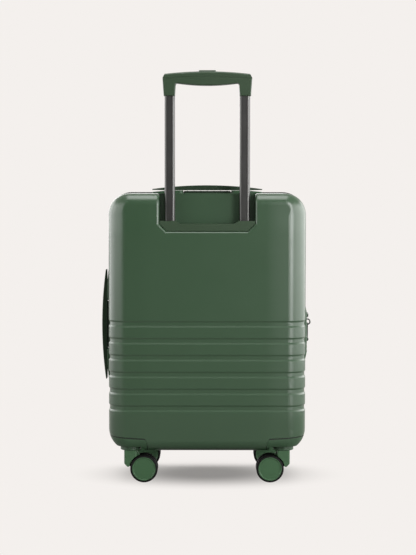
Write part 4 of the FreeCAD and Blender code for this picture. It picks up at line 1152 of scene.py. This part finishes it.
class SUITCASE_OT_divider(bpy.types.Operator):
    """Build the zipped divider in the lid"""
    bl_idname = "suitcase.divider"
    bl_label = "Divider"

    def execute(self, context):
        colours = context.scene.suitcase_colours
        sizes = context.scene.suitcase_sizes
        cloth = woven("Divider Cloth", colours.divider, sizes.cloth_weave, 0.00008,
                      sheen=0.3, contrast=0.15)
        binding = woven("Divider Binding", colours.webbing, sizes.weave, 0.00010)
        coil = moulded("Divider Coil", colours.webbing, 0.45)
        metal = moulded("Divider Slider", colours.slider, 0.32, metallic=0.9)
        corner, edge = 0.025, 0.011
        low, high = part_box("divider_panel")
        y = (low.y + high.y) / 2
        self.panel(low, high, corner, y, cloth)
        self.border(self.route(low, high, corner), y, edge, binding)
        self.closure(high, y, coil, metal, edge)
        return {"FINISHED"}

    def panel(self, low, high, corner, y, cloth):
        """The stretched cloth, with faint wrinkles that fade towards its edges."""
        rows, columns, inset, wrinkle = 56, 48, 0.0006, 0.0018
        verts, uvs = [], []
        for up in np.linspace(0, 1, rows):
            z = low.z + inset + (high.z - low.z - 2 * inset) * up
            rise = max(0.0, corner - (z - low.z))
            half = high.x - inset - (corner - math.sqrt(corner**2 - rise**2))
            for share in np.linspace(-1, 1, columns):
                x = share * half
                inside = max(0.0, 1 - abs(share) ** 3) * math.sin(math.pi * up)
                folds = smooth_noise(x, 0.3, z, 0.06) + 0.4 * smooth_noise(x, 0.7, z, 0.02)
                verts.append((x, y + wrinkle * inside * (0.4 + folds), z))
                uvs.append((x, z))
        made = piece("divider_cloth", verts, grid_faces(rows, columns), "lid", cloth,
                     "divider_cloth", uvs)
        thicken(made, 0.0005, 0.0)
        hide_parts("divider_panel")

    def route(self, low, high, corner):
        """The panel's outline from its upper left corner, down, round and back."""
        half, bend_z = high.x, low.z + corner

        def bend(middle_x, start):
            turns = np.linspace(start, start + math.pi / 2, 14)[1:]
            return [(middle_x + corner * math.cos(turn), bend_z + corner * math.sin(turn))
                    for turn in turns]

        route = [(-half, z) for z in np.linspace(high.z, bend_z, 60)]
        route += bend(corner - half, math.pi)
        route += [(x, low.z) for x in np.linspace(corner - half, half - corner, 44)[1:]]
        route += bend(half - corner, 1.5 * math.pi)
        route += [(half, z) for z in np.linspace(bend_z, high.z, 60)[1:]]
        return route + [(x, high.z) for x in np.linspace(half, -half, 70)[1:-1]]

    def border(self, route, y, width, binding):
        """A folded binding tape round the panel."""
        points = np.array(route)
        ahead = np.roll(points, -1, 0) - np.roll(points, 1, 0)
        ahead /= np.linalg.norm(ahead, axis=1, keepdims=True)
        inward = np.stack([-ahead[:, 1], ahead[:, 0]], -1)
        section = [(0.0002, 0.0), (0.0008, 0.0007), (width, 0.0009), (width + 0.0004, 0.0004),
                   (width + 0.0004, -0.0004), (width, -0.0009), (0.0008, -0.0007)]
        verts, uvs = [], []
        along = 0.0
        for k, point in enumerate(points):
            along += float(np.linalg.norm(point - points[k - 1])) if k else 0.0
            for inset, lift in section:
                place = point + inward[k] * inset
                verts.append((place[0], y + lift, place[1]))
                uvs.append((along, inset))
        faces = grid_faces(len(points), len(section), wrap_rows=True, wrap_columns=True)
        piece("divider_binding", verts, faces, "lid", binding, "webbing", uvs)

    def closure(self, high, y, coil, metal, edge):
        """The coil under the panel's top edge, with its slider."""
        pitch, margin, drop = 0.0019, 0.004, 0.006
        reach = high.x - edge
        z = high.z - edge - drop
        tooth = bean(0.0013, 0.0042, 0.0010, around=6, rings=4)
        teeth = [placed(tooth, (x, y - 0.0012, z), X, Z, Y)
                 for x in np.arange(margin - reach, reach - margin, pitch)]
        piece("divider_zip_coil", *joined(teeth), "lid", coil, "black_plastic")
        x = 0.010 - reach
        slider = bean(0.0085, 0.0075, 0.0032, around=16, rings=8)
        pull = bean(0.0040, 0.0240, 0.0012, around=12, rings=10)
        parts = [placed(slider, (x, y - 0.0019, z), X, Z, Y),
                 placed(pull, (x, y - 0.0040, z - 0.011), X, Z, Y)]
        piece("divider_zip_slider", *joined(parts), "lid", metal, "slider_metal")


class SUITCASE_OT_straps(bpy.types.Operator):
    """Build the packing straps and their buckle"""
    bl_idname = "suitcase.straps"
    bl_label = "Packing straps"

    def execute(self, context):
        colours = context.scene.suitcase_colours
        sizes = context.scene.suitcase_sizes
        web = woven("Strap Webbing", colours.webbing, sizes.weave * 1.6, 0.00022)
        thread = moulded("Strap Thread", colours.thread, 0.75)
        plastic = moulded("Buckle Plastic", (0.014, 0.015, 0.014), 0.42)
        low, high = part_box("packing_straps")
        buckle_low, buckle_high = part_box("strap_buckle")
        middle = (low.z + high.z) / 2
        wide, overlap = 0.038, 0.004
        near = (buckle_high.x - buckle_low.x) / 2 - overlap
        arms, uvs, seams = [], [], []
        for side, up in ((-1, -1), (-1, 1), (1, -1), (1, 1)):
            start = Vector((side * near, 0, middle + up * (overlap + wide / 4)))
            end = Vector((side * high.x, 0, middle + up * (high.z - middle - wide / 2)))
            arm, arm_uvs = self.arm(start, end, wide, low.y, high.y)
            arms.append(arm)
            uvs += arm_uvs
            seams += self.seams(start, end, low.y + (high.y - low.y) * 0.86)
        straps = piece("strap_webbing", *joined(arms), "case", web, "webbing", uvs)
        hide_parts("packing_straps")
        piece("strap_stitches", *joined(seams), "case", thread, "webbing")
        self.buckle(buckle_low, buckle_high, plastic)
        return {"FINISHED"}

    def arm(self, start, end, wide, low_y, high_y):
        """A strap gathered in pleats at the buckle and spread towards its sewn end."""
        rows, columns, pleat_depth, sag = 40, 15, 0.0007, 0.0012
        way = (end - start).normalized()
        across = Vector((-way.z, 0, way.x))
        thick = high_y - low_y
        verts, uvs = [], []
        for layer in (1, -1):
            for share in np.linspace(0, 1, rows):
                centre = start.lerp(end, share)
                half = wide * (0.5 + 0.42 * min(1.0, share * 1.6)) / 2
                y = low_y + thick * (0.5 + layer * 0.32) + sag * math.sin(math.pi * share)
                pleats = pleat_depth * max(0.0, 1 - share * 2.2)
                for v in np.linspace(-1, 1, columns):
                    spot = centre + across * (v * half)
                    verts.append((spot.x, y + pleats * math.cos(v * 3 * math.pi), spot.z))
                    uvs.append((v * half, share * (end - start).length))
        return (verts, twin_skins(rows, columns)), uvs

    def seams(self, start, end, y):
        """Two rows of stitches across a strap's sewn end."""
        way = (end - start).normalized()
        across = Vector((-way.z, 0, way.x))
        stitch = bean(0.0004, 0.0021, 0.0004, around=6, rings=3)
        made = []
        for share in (0.90, 0.955):
            centre = start.lerp(end, share)
            for offset in np.arange(-0.013, 0.0131, 0.0032):
                spot = centre + across * float(offset)
                made.append(placed(stitch, (spot.x, y, spot.z), way, across, Y))
        return made

    def buckle(self, low, high, plastic):
        """A moulded cross buckle: a frame with four slots and a raised middle."""
        frame_width, frame_height, bevel, bar_bevel = 0.006, 0.0042, 0.0007, 0.0006
        middle = (low + high) / 2
        reach = np.array((high.x - low.x, high.z - low.z)) / 2
        y0, y1 = low.y, low.y + frame_height
        outer = np.array(rounded_outline(*reach, 0.006))
        inner = np.array(rounded_outline(*(reach - frame_width), 0.003))
        verts = []
        for line, inset, y in ((outer, 0, y0), (outer, 0, y1 - bevel), (outer, bevel, y1),
                               (inner, -bevel, y1), (inner, 0, y1 - bevel), (inner, 0, y0)):
            verts += [(middle.x + x, y, middle.z + z) for x, z in line * (1 - inset / reach)]
        parts = [(verts, grid_faces(6, len(outer), wrap_rows=True, wrap_columns=True))]
        for half_x, half_z in ((reach[0] - 0.004, 0.0035), (0.0045, reach[1] - 0.004)):
            bar = np.array(rounded_outline(half_x, half_z, 0.0015, 4))
            count = len(bar)
            levels = ((1, y0), (1, y1 - bar_bevel), (0.93, y1))
            verts = [(middle.x + x, y, middle.z + z) for share, y in levels for x, z in bar * share]
            faces = grid_faces(3, count, wrap_columns=True)
            faces += [tuple(range(count)), tuple(range(2 * count, 3 * count))]
            parts.append((verts, faces))
        dome = [(0.0125, 0.0), (0.0125, 0.0032), (0.0115, 0.0042), (0.0095, 0.0046),
                (0.0080, 0.0042), (0.0001, 0.0050)]
        parts.append(turned_solid(dome, (middle.x, y0, middle.z), Y))
        made = piece("cross_buckle", *joined(parts), "case", plastic, "black_plastic")
        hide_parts("strap_buckle")


STEPS = (SUITCASE_OT_shaders, SUITCASE_OT_studio, SUITCASE_OT_shells, SUITCASE_OT_trolley,
         SUITCASE_OT_casters, SUITCASE_OT_handles, SUITCASE_OT_lock, SUITCASE_OT_zip,
         SUITCASE_OT_hinge, SUITCASE_OT_lining, SUITCASE_OT_divider, SUITCASE_OT_straps)


class SUITCASE_PT_panel(bpy.types.Panel):
    """Lists the finisher's steps and settings"""
    bl_idname = "SUITCASE_PT_panel"
    bl_label = "Suitcase"
    bl_space_type = "VIEW_3D"
    bl_region_type = "UI"
    bl_category = "Suitcase"

    def draw(self, context):
        for step in STEPS:
            self.layout.operator(step.bl_idname, text=step.bl_label)
        for settings in ("suitcase_colours", "suitcase_sizes", "suitcase_studio"):
            group = getattr(context.scene, settings)
            box = self.layout.box()
            for name in group.__annotations__:
                box.prop(group, name)


GROUPS = {"suitcase_colours": SuitcaseColours, "suitcase_sizes": SuitcaseSizes,
          "suitcase_studio": SuitcaseStudio}


def register():
    for group in GROUPS.values():
        bpy.utils.register_class(group)
    for name, group in GROUPS.items():
        setattr(bpy.types.Scene, name, bpy.props.PointerProperty(type=group))
    for step in STEPS:
        bpy.utils.register_class(step)
    bpy.utils.register_class(SUITCASE_PT_panel)


def unregister():
    bpy.utils.unregister_class(SUITCASE_PT_panel)
    for step in reversed(STEPS):
        bpy.utils.unregister_class(step)
    for name in GROUPS:
        delattr(bpy.types.Scene, name)
    for group in reversed(GROUPS.values()):
        bpy.utils.unregister_class(group)


def main():
    register()
    for step in STEPS:
        family, name = step.bl_idname.split(".")
        getattr(getattr(bpy.ops, family), name)()
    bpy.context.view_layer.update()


if __name__ == "__main__":
    main()
